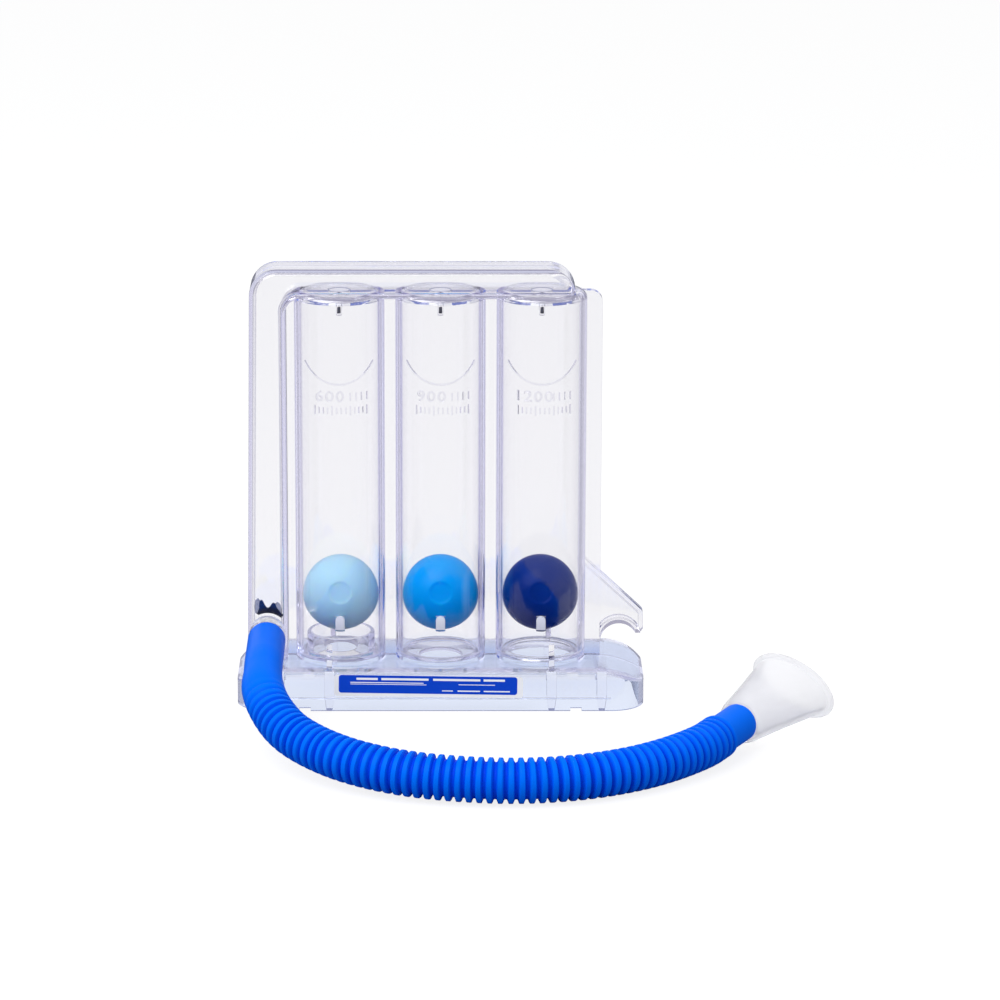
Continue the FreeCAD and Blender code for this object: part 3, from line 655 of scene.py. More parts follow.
class SPIROMETER_OT_stage(bpy.types.Operator):
    """White table, even studio light and the camera"""
    bl_idname = "spirometer.stage"
    bl_label = "Stage"

    def execute(self, context):
        stage = settings("stage")
        self.add_table()
        self.add_room(context.scene, stage.fill)
        self.add_back_card()
        self.add_lamp("key_light", Vector((-0.7, -0.8, 1.4)), 1.4, 24.0)
        self.add_lamp("side_light", Vector((1.2, -0.35, 0.7)), 0.6, 2.0)
        self.add_camera(context.scene, stage)
        context.scene.view_settings.view_transform = "Standard"
        return {"FINISHED"}

    def set_up(self, name, work, material):
        """Puts a finished mesh in the scene, attached to no body."""
        mesh = bpy.data.meshes.new(name)
        work.to_mesh(mesh)
        work.free()
        mesh.materials.append(material)
        item = put_in_scene(name, mesh)
        return item

    def add_table(self):
        """Pale round table top, a hair under the object's foot."""
        work = bmesh.new()
        bmesh.ops.create_circle(work, cap_ends=True, radius=2.5, segments=96)
        bmesh.ops.translate(work, verts=work.verts, vec=(0.0, 0.0, -0.15 * MM))
        material, tree = new_material("white_table")
        pale = blended(tree, light_path(tree, "Is Glossy Ray"),
                       (0.36, 0.37, 0.42, 1.0), (0.1, 0.11, 0.14, 1.0))
        bounce = add_node(tree, "ShaderNodeBsdfDiffuse", {"Color": pale})
        shaded = add_node(tree, "ShaderNodeBsdfDiffuse", {"Color": (0.2, 0.2, 0.2, 1.0)})
        light = add_node(tree, "ShaderNodeEmission",
                         {"Strength": 0.84, "Color": edge_toned(tree, WHITE, 0.5)})
        seen = add_node(tree, "ShaderNodeAddShader",
                        {0: shaded.outputs["BSDF"], 1: light.outputs["Emission"]})
        share = larger(tree, seen_directly(tree), turned_back(tree, INSIDE_TURNS))
        top = blended_shader(tree, share, bounce.outputs["BSDF"], seen.outputs["Shader"])
        add_node(tree, "ShaderNodeOutputMaterial", {"Surface": top})
        self.set_up("table_top", work, material)

    def add_back_card(self):
        """White card behind the object, seen only as a reflection in it."""
        width, height, distance, middle = 3.0, 1.3, 1.6, 0.6
        work = bmesh.new()
        bmesh.ops.create_grid(work, x_segments=1, y_segments=1, size=0.5)
        for vertex in work.verts:
            vertex.co = Vector((vertex.co.x * width, distance, middle + vertex.co.y * height))
        material, tree = new_material("white_card")
        light = add_node(tree, "ShaderNodeEmission", {"Color": (0.86, 0.87, 0.94, 1.0)})
        add_node(tree, "ShaderNodeOutputMaterial", {"Surface": light.outputs["Emission"]})
        card = self.set_up("back_card", work, material)
        card.visible_camera = False
        card.visible_diffuse = False
        card.visible_transmission = False
        card.visible_shadow = False

    def add_room(self, scene, fill):
        """Even light from all round, and white where the camera or clear plastic looks."""
        scene.world = bpy.data.worlds.new("studio")
        scene.world.use_nodes = True
        tree = scene.world.node_tree
        tree.nodes.clear()
        even, mirrored, white = [
            add_node(tree, "ShaderNodeBackground", given).outputs["Background"] for given in (
                {"Color": (0.97, 0.98, 1.0, 1.0), "Strength": fill},
                {"Color": edge_toned(tree, (0.11, 0.11, 0.16, 1.0), INSIDE_TURNS)},
                {"Color": edge_toned(tree, WHITE, 0.5)},
            )]
        indirect = blended_shader(tree, light_path(tree, "Is Glossy Ray"), even, mirrored)
        room = blended_shader(tree, seen_directly(tree), indirect, white)
        add_node(tree, "ShaderNodeOutputWorld", {"Surface": room})

    def add_lamp(self, name, place, size, power):
        """Square soft lamp that looks at the object."""
        light = bpy.data.lights.new(name, "AREA")
        light.size = size
        light.energy = power
        lamp = put_in_scene(name, light)
        lamp.location = place
        lamp.rotation_euler = (LOOKED_AT - place).to_track_quat("-Z", "Y").to_euler()

    def add_camera(self, scene, stage):
        """Camera in front of the object, a little above it."""
        data = bpy.data.cameras.new("camera")
        data.lens = stage.lens
        data.shift_x = stage.shift_x
        data.shift_y = stage.shift_y
        data.clip_start = 0.05
        camera = put_in_scene("camera", data)
        back = Vector((0.0, -math.cos(stage.elevation), math.sin(stage.elevation)))
        camera.location = LOOKED_AT + back * stage.distance
        camera.rotation_euler = (-back).to_track_quat("-Z", "Y").to_euler()
        scene.camera = camera


class SPIROMETER_OT_shells(bpy.types.Operator):
    """Front and rear half of the clear body"""
    bl_idname = "spirometer.shells"
    bl_label = "Shells"

    def execute(self, context):
        material = clear_plastic("clear_styrene", settings("clear_plastic").bend, moulded=True)
        for node, side in (("front_shell", -1), ("rear_shell", 1)):
            name = node + "_moulding"
            add_piece(name, shell_copy(node, name, side), material, "housing", "clear_shell", node)
        return {"FINISHED"}


class SPIROMETER_OT_markings(bpy.types.Operator):
    """Raised arc, number and ticks on the front of each chamber"""
    bl_idname = "spirometer.markings"
    bl_label = "Markings"

    def execute(self, context):
        marks = settings("markings")
        bend = settings("clear_plastic").mark_bend
        material = clear_plastic("raised_marks", bend, tinted=False, colour=(0.9, 0.9, 0.93))
        for node, text in zip(CHAMBER_NODES, CHAMBER_NUMBERS):
            centre_x = centre_of(node).x
            work = bmesh.new()
            self.add_arc(work, centre_x, marks)
            self.add_ticks(work, centre_x, marks)
            work.from_mesh(number_mesh(text, centre_x))
            bmesh.ops.recalc_face_normals(work, faces=work.faces)
            name = "marks_" + text
            add_piece(name, mesh_from(work, name, 30), material, "housing", "clear_shell")
        return {"FINISHED"}

    def add_arc(self, work, centre_x, marks):
        """Arc that opens upwards and wraps round the chamber."""
        path = []
        for angle in spread(-marks.arc_half_angle, marks.arc_half_angle, 36):
            across = marks.arc_radius * math.sin(angle)
            up = marks.arc_height + marks.arc_radius * (1 - math.cos(angle))
            path.append((marks.chamber_radius * math.asin(across / marks.chamber_radius), up))
        raised_strip(work, centre_x, path, marks.arc_width, marks.relief)

    def add_ticks(self, work, centre_x, marks):
        """Row of ticks under the number, every fourth one longer, and four ticks beside the number."""
        rows = [(tick, marks.tick_height, 1.5 if tick % 4 == 0 else 1.0) for tick in range(marks.tick_count)]
        rows += [(tick, marks.number_height, 1.3) for tick in (8, 9.3, 10.6, 12)]
        for tick, height, reach in rows:
            across = marks.tick_start + tick * marks.tick_pitch
            path = [(across, height - reach * MM), (across, height + reach * MM)]
            raised_strip(work, centre_x, path, marks.tick_width, marks.relief)


class SPIROMETER_OT_balls(bpy.types.Operator):
    """Three balls, each with a shallow round spot"""
    bl_idname = "spirometer.balls"
    bl_label = "Balls"

    def execute(self, context):
        look = settings("balls")
        for level, slot, colour in (("low", "pale_blue_ball", look.pale), ("mid", "azure_ball", look.azure),
                                    ("high", "navy_ball", look.navy)):
            node = level + "_flow_ball"
            material = moulded_plastic(slot, colour, 0.22, 0.34, 500.0, 0.02 * MM, 0.6, 0.07)
            add_piece(node + "_moulding", self.ball_mesh(node, look), material, level + "_ball", slot, node)
        return {"FINISHED"}

    def ball_mesh(self, node, look):
        """Ball turned about the axis through its spot, which is sunk a little inside a soft rim."""
        low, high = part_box(node)
        centre = (low + high) / 2
        radius = (high.x - low.x) / 2
        axis = Vector((0.0, -math.cos(look.spot_tilt), math.sin(look.spot_tilt)))
        edge = math.asin(look.spot_radius / radius)
        flat = radius * math.cos(edge)
        profile = [(radius * math.sin(angle), radius * math.cos(angle))
                   for angle in spread(math.pi, edge, 72)[1:]]
        for share, sunk in ((0.93, 0.08), (0.86, 0.48), (0.8, 0.8), (0.7, 0.96), (0.45, 1.0), (0.15, 1.0)):
            profile.append((look.spot_radius * share, flat - sunk * look.spot_depth))
        work = bmesh.new()
        back_pole = work.verts.new(centre - axis * radius)
        front_pole = work.verts.new(centre + axis * (flat - look.spot_depth))
        loops = [[work.verts.new(point) for point in ring] for ring in rings_about(centre, axis, profile)]
        for loop, following in zip(loops, loops[1:]):
            join_loops(work, loop, following)
        for pole, loop in ((back_pole, loops[0]), (front_pole, loops[-1])):
            for corner, after in zip(loop, loop[1:] + loop[:1]):
                work.faces.new((pole, corner, after))
        bmesh.ops.recalc_face_normals(work, faces=work.faces)
        return mesh_from(work, node + "_moulding")


class SPIROMETER_OT_discs(bpy.types.Operator):
    """Three clear flow discs"""
    bl_idname = "spirometer.discs"
    bl_label = "Flow discs"

    def execute(self, context):
        material = clear_plastic("clear_disc", settings("clear_plastic").bend)
        for node in ("low_flow_disc", "mid_flow_disc", "high_flow_disc"):
            name = node + "_moulding"
            centre = Vector((centre_of(node).x, 0.0, 0.0))
            mesh = turned(name, rounded_profile(self.outline(node), SOFT_CORNER), centre, UP)
            add_piece(name, mesh, material, "housing", "clear_disc", node)
        return {"FINISHED"}

    def outline(self, node):
        """Cross-section of a disc as (radius, height) corners."""
        low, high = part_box(node)
        rim = (high.x - low.x) / 2
        thick = 1.2 * MM
        if node == "low_flow_disc":
            bottom = low.z
            top = bottom + thick
            outside = 11.15 * MM
            inside = outside - thick
            opening = 5.5 * MM
            return [(opening, bottom), (rim, bottom), (rim, top), (outside, top), (outside, high.z),
                    (inside, high.z), (inside, top), (opening, top)]
        if node == "mid_flow_disc":
            top = high.z
            bottom = top - thick
            dish = 11.5 * MM
            opening = 7.0 * MM
            return [(opening, low.z), (dish, bottom), (rim, bottom), (rim, top), (dish, top),
                    (opening, low.z + thick)]
        opening = 10.7 * MM
        return [(opening, low.z), (rim, low.z), (rim, high.z), (opening, high.z)]


class SPIROMETER_OT_port(bpy.types.Operator):
    """Clear hose port with its collar and spigot"""
    bl_idname = "spirometer.port"
    bl_label = "Hose port"

    def execute(self, context):
        material = clear_plastic("clear_port", settings("clear_plastic").bend)
        low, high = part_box("hose_port")
        collar = (high.x - low.x) / 2
        centre = centre_of("hose_port")
        centre.y = 0.0
        bore = 3.9 * MM
        spigot = 4.9 * MM
        plug = 4.95 * MM
        wall_face = 9.0 * MM
        collar_end = 17.5 * MM
        outline = [(bore, -high.y), (plug, -high.y), (plug, wall_face), (collar, wall_face),
                   (collar, collar_end), (spigot, collar_end), (spigot, -low.y), (bore, -low.y)]
        forwards = Vector((0.0, -1.0, 0.0))
        mesh = turned("hose_port_moulding", rounded_profile(outline, SOFT_CORNER), centre, forwards)
        add_piece("hose_port_moulding", mesh, material, "housing", "clear_port", "hose_port")
        return {"FINISHED"}


def mouthpiece_axes():
    """Axis of the mouthpiece and the two ways across its oval."""
    look = settings("mouthpiece")
    axis = Vector((math.cos(look.heading) * math.cos(look.pitch),
                   math.sin(look.heading) * math.cos(look.pitch), math.sin(look.pitch)))
    level = Vector((axis.y, -axis.x, 0.0)).normalized()
    upright = level.cross(axis)
    wide = level * math.cos(look.roll) - upright * math.sin(look.roll)
    return axis, wide, axis.cross(wide)


def route_points():
    """All points of the hose's route, with the open end of the mouthpiece cuff."""
    axis = mouthpiece_axes()[0]
    end = Vector(ROUTE[-1]) + axis * settings("mouthpiece").cuff_length
    return [Vector(point) for point in ROUTE] + [end]


def route_curve(name):
    """Smooth spline with the route's points as its control points."""
    curve = bpy.data.curves.new(name, "CURVE")
    curve.dimensions = "3D"
    spline = curve.splines.new("NURBS")
    points = route_points()
    spline.points.add(len(points) - 1)
    for point, place in zip(spline.points, points):
        point.co = (*place, 1.0)
    spline.order_u = 3
    spline.use_endpoint_u = True
    spline.resolution_u = 24
    return put_in_scene(name, curve)


def ribbed_hose_tree(material, sizes):
    """Geometry nodes that lay a ribbed skin and a smooth bore along a curve, with an input for each size."""
    tree = bpy.data.node_groups.new("ribbed_hose", "GeometryNodeTree")
    tree.interface.new_socket("Geometry", in_out="INPUT", socket_type="NodeSocketGeometry")
    for name in sizes:
        tree.interface.new_socket(name, in_out="INPUT", socket_type="NodeSocketFloat")
    tree.interface.new_socket("Geometry", in_out="OUTPUT", socket_type="NodeSocketGeometry")
    given = add_node(tree, "NodeGroupInput").outputs
    cuff_radius = given["Cuff radius"]
    crest_radius = given["Crest radius"]
    port_smooth = given["Port smooth"]

    def less(first, second):
        return maths(tree, "SUBTRACT", first, second)

    def between(share, low, high):
        return maths(tree, "ADD", low, product(tree, share, less(high, low)))

    def spaced(step):
        sockets = {"Curve": given["Geometry"], "Length": step}
        return add_node(tree, "GeometryNodeResampleCurve", sockets, mode="LENGTH").outputs["Curve"]

    def skin(curve, radius):
        sized = add_node(tree, "GeometryNodeSetCurveRadius", {"Curve": curve, "Radius": radius})
        circle = add_node(tree, "GeometryNodeCurvePrimitiveCircle", {"Resolution": 56, "Radius": 1.0})
        swept = add_node(tree, "GeometryNodeCurveToMesh", {
            "Curve": sized.outputs["Curve"], "Profile Curve": circle.outputs["Curve"]})
        if "Scale" in swept.inputs:
            tree.links.new(radius, swept.inputs["Scale"])
        return swept.outputs["Mesh"]

    along = add_node(tree, "GeometryNodeSplineParameter").outputs["Length"]
    from_mouth = less(add_node(tree, "GeometryNodeSplineLength").outputs["Length"], along)
    past_port = less(along, port_smooth)
    turns = maths(tree, "DIVIDE", past_port, given["Rib pitch"])
    wave = maths(tree, "COSINE", product(tree, turns, 2 * math.pi))
    crest_share = step_over(tree, wave, -0.9, 0.35)
    ribbed = between(crest_share, given["Valley radius"], crest_radius)
    after_port = step_over(tree, past_port, 0.0, given["Blend length"])
    swell = step_over(tree, along, less(port_smooth, 12.0 * MM), port_smooth)
    smooth_end = between(swell, cuff_radius, product(tree, crest_radius, 0.965))
    before_mouth = step_over(tree, less(from_mouth, given["Mouth smooth"]), 0.0, 2.0 * MM)
    radius = between(before_mouth, cuff_radius, between(after_port, smooth_end, ribbed))
    # Painted shade: the rib attribute falls from 1 on the crests towards 0 in the valleys, and the material
    # darkens the blue there.
    valley_share = product(tree, after_port, before_mouth, less(1.0, crest_share))
    marked = add_node(tree, "GeometryNodeStoreNamedAttribute", {
        "Name": "rib", "Geometry": spaced(given["Skin step"]), "Value": less(1.0, valley_share),
    }, data_type="FLOAT", domain="POINT")
    outside = skin(marked.outputs["Geometry"], radius)
    bore = skin(spaced(given["Bore step"]), given["Bore radius"])
    inside = add_node(tree, "GeometryNodeFlipFaces", {"Mesh": bore})
    joined = add_node(tree, "GeometryNodeJoinGeometry", {"Geometry": outside})
    tree.links.new(inside.outputs["Mesh"], joined.inputs["Geometry"])
    real = add_node(tree, "GeometryNodeRealizeInstances", {"Geometry": joined.outputs["Geometry"]})
    painted = add_node(tree, "GeometryNodeSetMaterial", {
        "Material": material, "Geometry": real.outputs["Geometry"]})
    add_node(tree, "NodeGroupOutput", {"Geometry": painted.outputs["Geometry"]})
    return tree


class SPIROMETER_OT_hose(bpy.types.Operator):
    """Corrugated hose with its two smooth cuffs, in one piece"""
    bl_idname = "spirometer.hose"
    bl_label = "Hose"

    def execute(self, context):
        look = settings("hose")
        material = hose_plastic("hose_blue", look.crest_blue, look.valley_painted_shade)
        holder = route_curve("hose_route")
        line = plain_mesh(holder)
        path = [vertex.co.copy() for vertex in line.vertices]
        bpy.data.meshes.remove(line)
        mesh = self.skin_mesh(holder, look, material)
        bpy.data.objects.remove(holder)
        self.close_ends(mesh, path[0], path[-1])
        hose = add_piece("hose_moulding", mesh, material, "hose", "blue_hose",
                         "port_cuff", "hose_tube", "mouthpiece_cuff")
        return {"FINISHED"}

    def skin_mesh(self, holder, look, material):
        """Runs the ribbed hose's nodes on the route and keeps the result as a plain mesh."""
        names = ("crest_radius", "valley_radius", "cuff_radius", "bore_radius", "rib_pitch", "port_smooth",
                 "mouth_smooth", "blend_length", "skin_step", "bore_step")
        sizes = {name.replace("_", " ").capitalize(): getattr(look, name) for name in names}
        tree = ribbed_hose_tree(material, sizes)
        modifier = holder.modifiers.new("ribs", "NODES")
        modifier.node_group = tree
        for socket in tree.interface.items_tree:
            if socket.name in sizes:
                modifier[socket.identifier] = sizes[socket.name]
        mesh = plain_mesh(holder)
        holder.modifiers.remove(modifier)
        return mesh

    def close_ends(self, mesh, start, end):
        """Joins the outer skin to the bore with a ring at each open end."""
        nearby = 10.0 * MM
        work = bmesh.new()
        work.from_mesh(mesh)
        for place in (start, end):
            rim = [edge for edge in work.edges
                   if edge.is_boundary and (edge.verts[0].co - place).length < nearby]
            bmesh.ops.bridge_loops(work, edges=rim)
        bmesh.ops.recalc_face_normals(work, faces=work.faces)
        work.to_mesh(mesh)
        work.free()
        mesh.shade_smooth()
        mesh.set_sharp_from_angle(angle=math.radians(50))


class SPIROMETER_OT_mouthpiece(bpy.types.Operator):
    """Milky mouthpiece with an oval lip"""
    bl_idname = "spirometer.mouthpiece"
    bl_label = "Mouthpiece"

    def execute(self, context):
        look = settings("mouthpiece")
        material = milky_plastic("milky_plastic", look.colour)
        axis, wide, tall = mouthpiece_axes()
        origin = route_points()[-1] + axis * 0.05 * MM
        rings = [[origin + axis * along
                  + (wide * (width / 2 * math.cos(angle)) + tall * (height / 2 * math.sin(angle)))
                  for angle in ROUND] for width, height, along in self.sections(look)]
        mesh = rings_to_mesh("mouthpiece_moulding", rings, 40)
        add_piece("mouthpiece_moulding", mesh, material, "mouth", "milky_mouthpiece", "mouthpiece")
        return {"FINISHED"}

    def sections(self, look):
        """(width, height, place along the axis) of each ring, out along the outside and back inside."""
        throat_width = look.lip_width - 2 * look.bead
        throat_height = look.lip_height - 2 * look.bead
        stem = 9.8 * MM
        bore = 7.8 * MM
        stem_end = -14.0 * MM
        chamfer = 0.4 * MM
        shoulder = 3.0 * MM
        shoulder_drop = 1.3 * MM
        bead_length = 3.0 * MM

        def flare(share, inset):
            width = look.neck + (throat_width - look.neck) * share ** 1.15 - 2 * inset
            height = look.neck - (look.neck - throat_height) * share ** 2 - 2 * inset
            return width, height, look.length * share

        rings = [(size, size, along) for size, along in (
            (bore, stem_end + 0.2 * MM), (bore + chamfer, stem_end), (stem - chamfer, stem_end),
            (stem, stem_end + 0.3 * MM), (stem, -chamfer), (stem + chamfer, 0.0))]
        for angle in spread(0.0, math.pi / 2, 8)[:-1]:
            along = shoulder * (1 - math.cos(angle))
            rings.append(flare(along / look.length, shoulder_drop * (1 - math.sin(angle))))
        for share in spread(shoulder / look.length, 1 - bead_length / look.length, 36):
            rings.append(flare(share, 0.0))
        for angle in spread(0.0, math.pi, 13)[1:-1]:
            out = math.sin(angle) ** 0.8 * look.bead * 2
            rings.append((throat_width + out, throat_height + out,
                          look.length - bead_length * (1 + math.cos(angle)) / 2))
        rings.append((throat_width, throat_height, look.length))
        lip_share, *inner_shares = spread(0.995, look.wall / look.length, 36)
        rings.append(flare(lip_share, look.wall * 0.6))
        rings += [flare(share, look.wall) for share in inner_shares]
        rings.append((bore + chamfer, bore + chamfer, look.wall))
        rings.append((bore, bore, look.wall - 0.2 * MM))
        return rings


def upright_slab(work, outline, near, far, corner):
    """Slab with softened edges, from an outline of (across, up) points between two depths."""
    front, back = [[work.verts.new((x, y, z)) for x, z in outline] for y in (near, far)]
    faces = [work.faces.new(front), work.faces.new(back[::-1])]
    faces += join_loops(work, front[::-1], back[::-1])
    edges = {edge for face in faces for edge in face.edges}
    bmesh.ops.bevel(work, geom=list(edges), offset=corner, segments=2, profile=0.6, affect="EDGES")


class SPIROMETER_OT_trim(bpy.types.Operator):
    """Painted highlights on the pegs, painted shade round the air holes and in the pin tips, port latch with
    its tabs, base bead and painted blue streaks under the chamber tops
    """
    bl_idname = "spirometer.trim"
    bl_label = "Trim"

    def execute(self, context):
        look = settings("clear_plastic")
        centres = [centre_of(node).x for node in CHAMBER_NODES]
        grain = (500.0, 0.01 * MM)
        # Painted highlight: white for the slabs on the clear pegs.
        white = moulded_plastic("peg_painted_highlight", (0.93, 0.95, 1.0), 0.12, 0.2, *grain)
        # Painted shade: grey blue for the dark edge of each air hole.
        shade = moulded_plastic("painted_hole_shading", (0.28, 0.3, 0.45), 0.3, 0.4, *grain)
        # Navy for the latch, and painted shade for the tips of the clear pins.
        dark = moulded_plastic("latch_navy_and_pin_shade", (0.006, 0.01, 0.03), 0.25, 0.35, *grain)
        smoke = clear_plastic("latch_smoke", look.thin_bend, tinted=False, colour=(0.3, 0.31, 0.38))
        clear = clear_plastic("clear_bead", look.bend, tinted=False)
        # Painted reflection: blue for the streaks under the chamber tops.
        tint = clear_plastic("painted_streak_tint", look.thin_bend, tinted=False, colour=(0.22, 0.27, 0.62))
        for name, work, material in (
            ("peg_painted_highlights", self.peg_painted_highlights(centres), white),
            ("painted_hole_shading_rings", self.painted_hole_shading_rings(centres), shade),
            ("painted_pin_shades", self.painted_pin_shades(centres), dark),
            ("port_latch", self.port_latch(), dark),
            ("latch_tabs", self.latch_tabs(), smoke),
            ("base_bead", self.base_bead(), clear),
            ("painted_top_streaks", self.painted_top_streaks(centres), tint),
        ):
            bmesh.ops.recalc_face_normals(work, faces=work.faces)
            add_piece(name, mesh_from(work, name, 35), material, "housing", "clear_shell")
        return {"FINISHED"}

    def peg_painted_highlights(self, centres):
        """Painted highlights: white glossy slabs on the fronts of the clear pegs that the balls rest on, for
        the light the pegs catch.
        """
        work = bmesh.new()
        half = 1.45 * MM
        foot = 25.4 * MM
        crown = 28.7 * MM
        for centre in centres:
            outline = [(centre - half, foot), (centre + half, foot)]
            outline += [(centre + half * math.cos(angle), crown + half * math.sin(angle))
                        for angle in spread(0.0, math.pi, 8)]
            for side in (-1, 1):
                upright_slab(work, outline, side * 12.7 * MM, side * 11.65 * MM, 0.18 * MM)
        return work

    def painted_top_streaks(self, centres):
        """Painted reflection: thin blue slabs under each chamber's top, on both sides of its air hole, for a
        blue streak mirrored there.
        """
        work = bmesh.new()
        inner, outer, top = 3.5, 10.5, 135.5
        for centre in centres:
            for side in (-1, 1):
                outline = [(across, top) for across in spread(inner, outer, 12)]
                for across in spread(outer, inner, 12):
                    sag = 0.3 + 1.2 * math.sqrt(max(0.0, 1 - (across / outer) ** 2))
                    outline.append((across, top - sag))
                points = [(centre + side * across * MM, up * MM) for across, up in outline]
                upright_slab(work, points, -0.4 * MM, 0.4 * MM, 0.06 * MM)
        return work

    def painted_pin_shades(self, centres):
        """Painted shade: dark cylinders in the tips of the clear pins that stop the balls."""
        work = bmesh.new()
        for centre in centres:
            for side in (-1, 1):
                place = Matrix.Translation((centre, side * 4.6 * MM, 131.4 * MM))
                bmesh.ops.create_cone(work, cap_ends=True, segments=24, radius1=0.38 * MM, radius2=0.32 * MM,
                                      depth=2.3 * MM, matrix=place)
        return work

    def painted_hole_shading_rings(self, centres):
        """Painted shade: a fine dark ring round the air hole on top of each chamber."""
        work = bmesh.new()
        inside, outside, bottom, top = 3.3 * MM, 3.6 * MM, 136.95 * MM, 137.1 * MM
        corners = [(inside, bottom), (outside, bottom), (outside, top), (inside, top)]
        profile = rounded_profile(corners, 0.05 * MM)
        for centre in centres:
            work.from_mesh(turned("painted_hole_shading_ring", profile, Vector((centre, 0.0, 0.0)), UP))
        return work

    def port_latch(self):
        """Dark latch with two teeth that holds the port from inside the duct."""
        radius = 6.5
        foot = [math.radians(degrees) for degrees in spread(118, 47, 8)]
        outline = [(radius * math.cos(angle), radius * math.sin(angle)) for angle in foot]
        outline += [(4.9, 5.9), (4.0, 6.9), (3.0, 7.8), (2.9, 8.7), (2.5, 9.6), (1.8, 9.9), (1.2, 9.3),
                    (0.9, 8.4), (0.3, 7.9), (-0.4, 8.1), (-1.0, 8.9), (-1.3, 10.1), (-1.9, 10.9),
                    (-2.6, 10.5), (-2.8, 9.2), (-2.6, 8.1), (-2.9, 7.2), (-3.5, 6.5)]
        return self.over_port([outline], -7.3, -6.3)

    def latch_tabs(self):
        """Smoky tabs on both sides of the latch."""
        left = [(-3.2, 5.9), (-2.5, 7.4), (-2.4, 10.6), (-3.1, 11.5), (-4.1, 10.6), (-4.4, 8.4), (-4.1, 6.4)]
        right = [(4.6, 5.8), (4.7, 7.8), (4.1, 9.5), (3.2, 10.2), (2.4, 9.4), (2.6, 7.6), (3.9, 5.8)]
        return self.over_port([left, right], -7.1, -6.5)

    def over_port(self, outlines, near, far):
        """Slabs from outlines in millimetres about the middle of the port."""
        work = bmesh.new()
        centre = centre_of("hose_port")
        for outline in outlines:
            points = [(centre.x + across * MM, centre.z + up * MM) for across, up in outline]
            upright_slab(work, points, near * MM, far * MM, 0.15 * MM)
        return work

    def base_bead(self):
        """Fine bead along the front and the back of the base, above its foot."""
        work = bmesh.new()
        radius = 0.32 * MM
        for side in (-1, 1):
            middle = Matrix.Translation((0.0, side * 21.0 * MM, 4.4 * MM))
            bmesh.ops.create_cone(work, cap_ends=True, segments=16, radius1=radius, radius2=radius,
                                  depth=112.0 * MM, matrix=middle @ Matrix.Rotation(math.pi / 2, 4, "Y"))
        return work


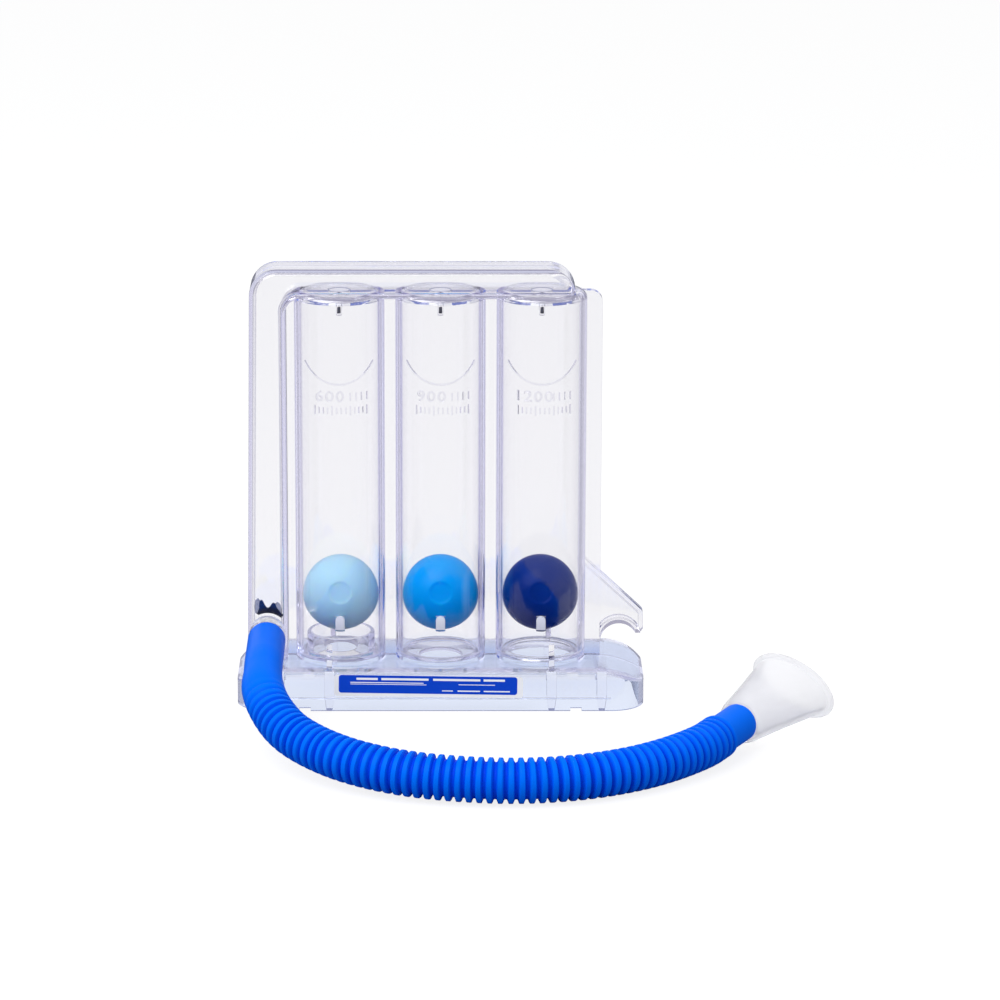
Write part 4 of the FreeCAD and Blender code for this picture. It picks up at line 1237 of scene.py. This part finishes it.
class SPIROMETER_OT_label(bpy.types.Operator):
    """Sticker with a blue field, plain white bars and a white border"""
    bl_idname = "spirometer.label"
    bl_label = "Label"

    def execute(self, context):
        look = settings("label")
        white = moulded_plastic("label_film", (0.95, 0.955, 0.96), 0.3, 0.4, 600.0, 0.01 * MM)
        blue = moulded_plastic("label_print", look.blue, 0.28, 0.38, 600.0, 0.01 * MM)
        film = self.field("label_film", (0.3, 0.0), (62.0, 7.0), 1.0, 0.0, 0.12)
        add_piece("label_film", film, white, "housing", "printed_label", "label")
        middle = (0.1, 0.5)
        print_mesh = self.field("label_print", middle, (58.6, 5.9), 0.9, 0.12, 0.02)
        add_piece("label_print", print_mesh, blue, "housing", "printed_label")
        rules = bmesh.new()
        for across, up, width, height in (
            (-20.0, 1.75, 7.0, 0.7), (-7.6, 1.75, 15.5, 0.7), (9.4, 1.75, 15.5, 0.7), (21.7, 1.75, 7.0, 0.7),
            (-13.5, 0.55, 24.0, 0.28), (-13.0, 0.0, 25.0, 0.2), (16.0, 0.2, 12.0, 0.22),
            (6.4, -1.9, 3.6, 0.3), (13.4, -1.9, 7.4, 0.4), (22.6, -1.9, 8.6, 0.4),
        ):
            place = (middle[0] + across, middle[1] + up)
            rules.from_mesh(self.field("label_rule", place, (width, height), 0.1, 0.14, 0.015))
        add_piece("label_rules", mesh_from(rules, "label_rules", 30), white, "housing", "printed_label")
        return {"FINISHED"}

    def field(self, name, middle, size, corner, lift, thickness):
        """Thin rounded plate on the base's leaning front, in millimetres on the label's own plane."""
        outline = []
        for sign_x, sign_z, start in ((1, 1, 0), (-1, 1, 90), (-1, -1, 180), (1, -1, 270)):
            for degrees in spread(start, start + 90, 6):
                angle = math.radians(degrees)
                outline.append((middle[0] + sign_x * (size[0] / 2 - corner) + corner * math.cos(angle),
                                middle[1] + sign_z * (size[1] / 2 - corner) + corner * math.sin(angle)))
        place = centre_of("label")
        lean = math.atan2(1.2, 9.1)
        tilt = Matrix.Rotation(-lean, 3, "X") @ Matrix.Rotation(settings("label").turn, 3, "Y")
        half_thick = 0.06
        work = bmesh.new()
        under, over = [
            [work.verts.new(place + tilt @ Vector((x * MM, (half_thick - out) * MM, z * MM)))
             for x, z in outline] for out in (lift, lift + thickness)]
        join_loops(work, under, over)
        work.faces.new(under)
        work.faces.new(over)
        bmesh.ops.recalc_face_normals(work, faces=work.faces)
        return mesh_from(work, name, 30)


OPERATORS = (
    SPIROMETER_OT_stage,
    SPIROMETER_OT_shells,
    SPIROMETER_OT_markings,
    SPIROMETER_OT_balls,
    SPIROMETER_OT_discs,
    SPIROMETER_OT_port,
    SPIROMETER_OT_mouthpiece,
    SPIROMETER_OT_hose,
    SPIROMETER_OT_trim,
    SPIROMETER_OT_label,
)


class SPIROMETER_PT_panel(bpy.types.Panel):
    """Lists the pieces of the spirometer"""
    bl_label = "Spirometer"
    bl_space_type = "VIEW_3D"
    bl_region_type = "UI"
    bl_category = "Spirometer"

    def draw(self, context):
        for operator in OPERATORS:
            self.layout.operator(operator.bl_idname)


CLASSES = (*SETTINGS.values(), *OPERATORS, SPIROMETER_PT_panel)


def register():
    """Registers the classes and puts the settings on the scene."""
    for item in CLASSES:
        bpy.utils.register_class(item)
    for name, group in SETTINGS.items():
        setattr(bpy.types.Scene, "spirometer_" + name, bpy.props.PointerProperty(type=group))


def unregister():
    """Takes the settings off the scene and unregisters the classes."""
    for name in SETTINGS:
        delattr(bpy.types.Scene, "spirometer_" + name)
    for item in reversed(CLASSES):
        bpy.utils.unregister_class(item)


def main():
    """Builds every piece in order."""
    register()
    for operator in OPERATORS:
        group, name = operator.bl_idname.split(".")
        getattr(getattr(bpy.ops, group), name)()


if __name__ == "__main__":
    main()
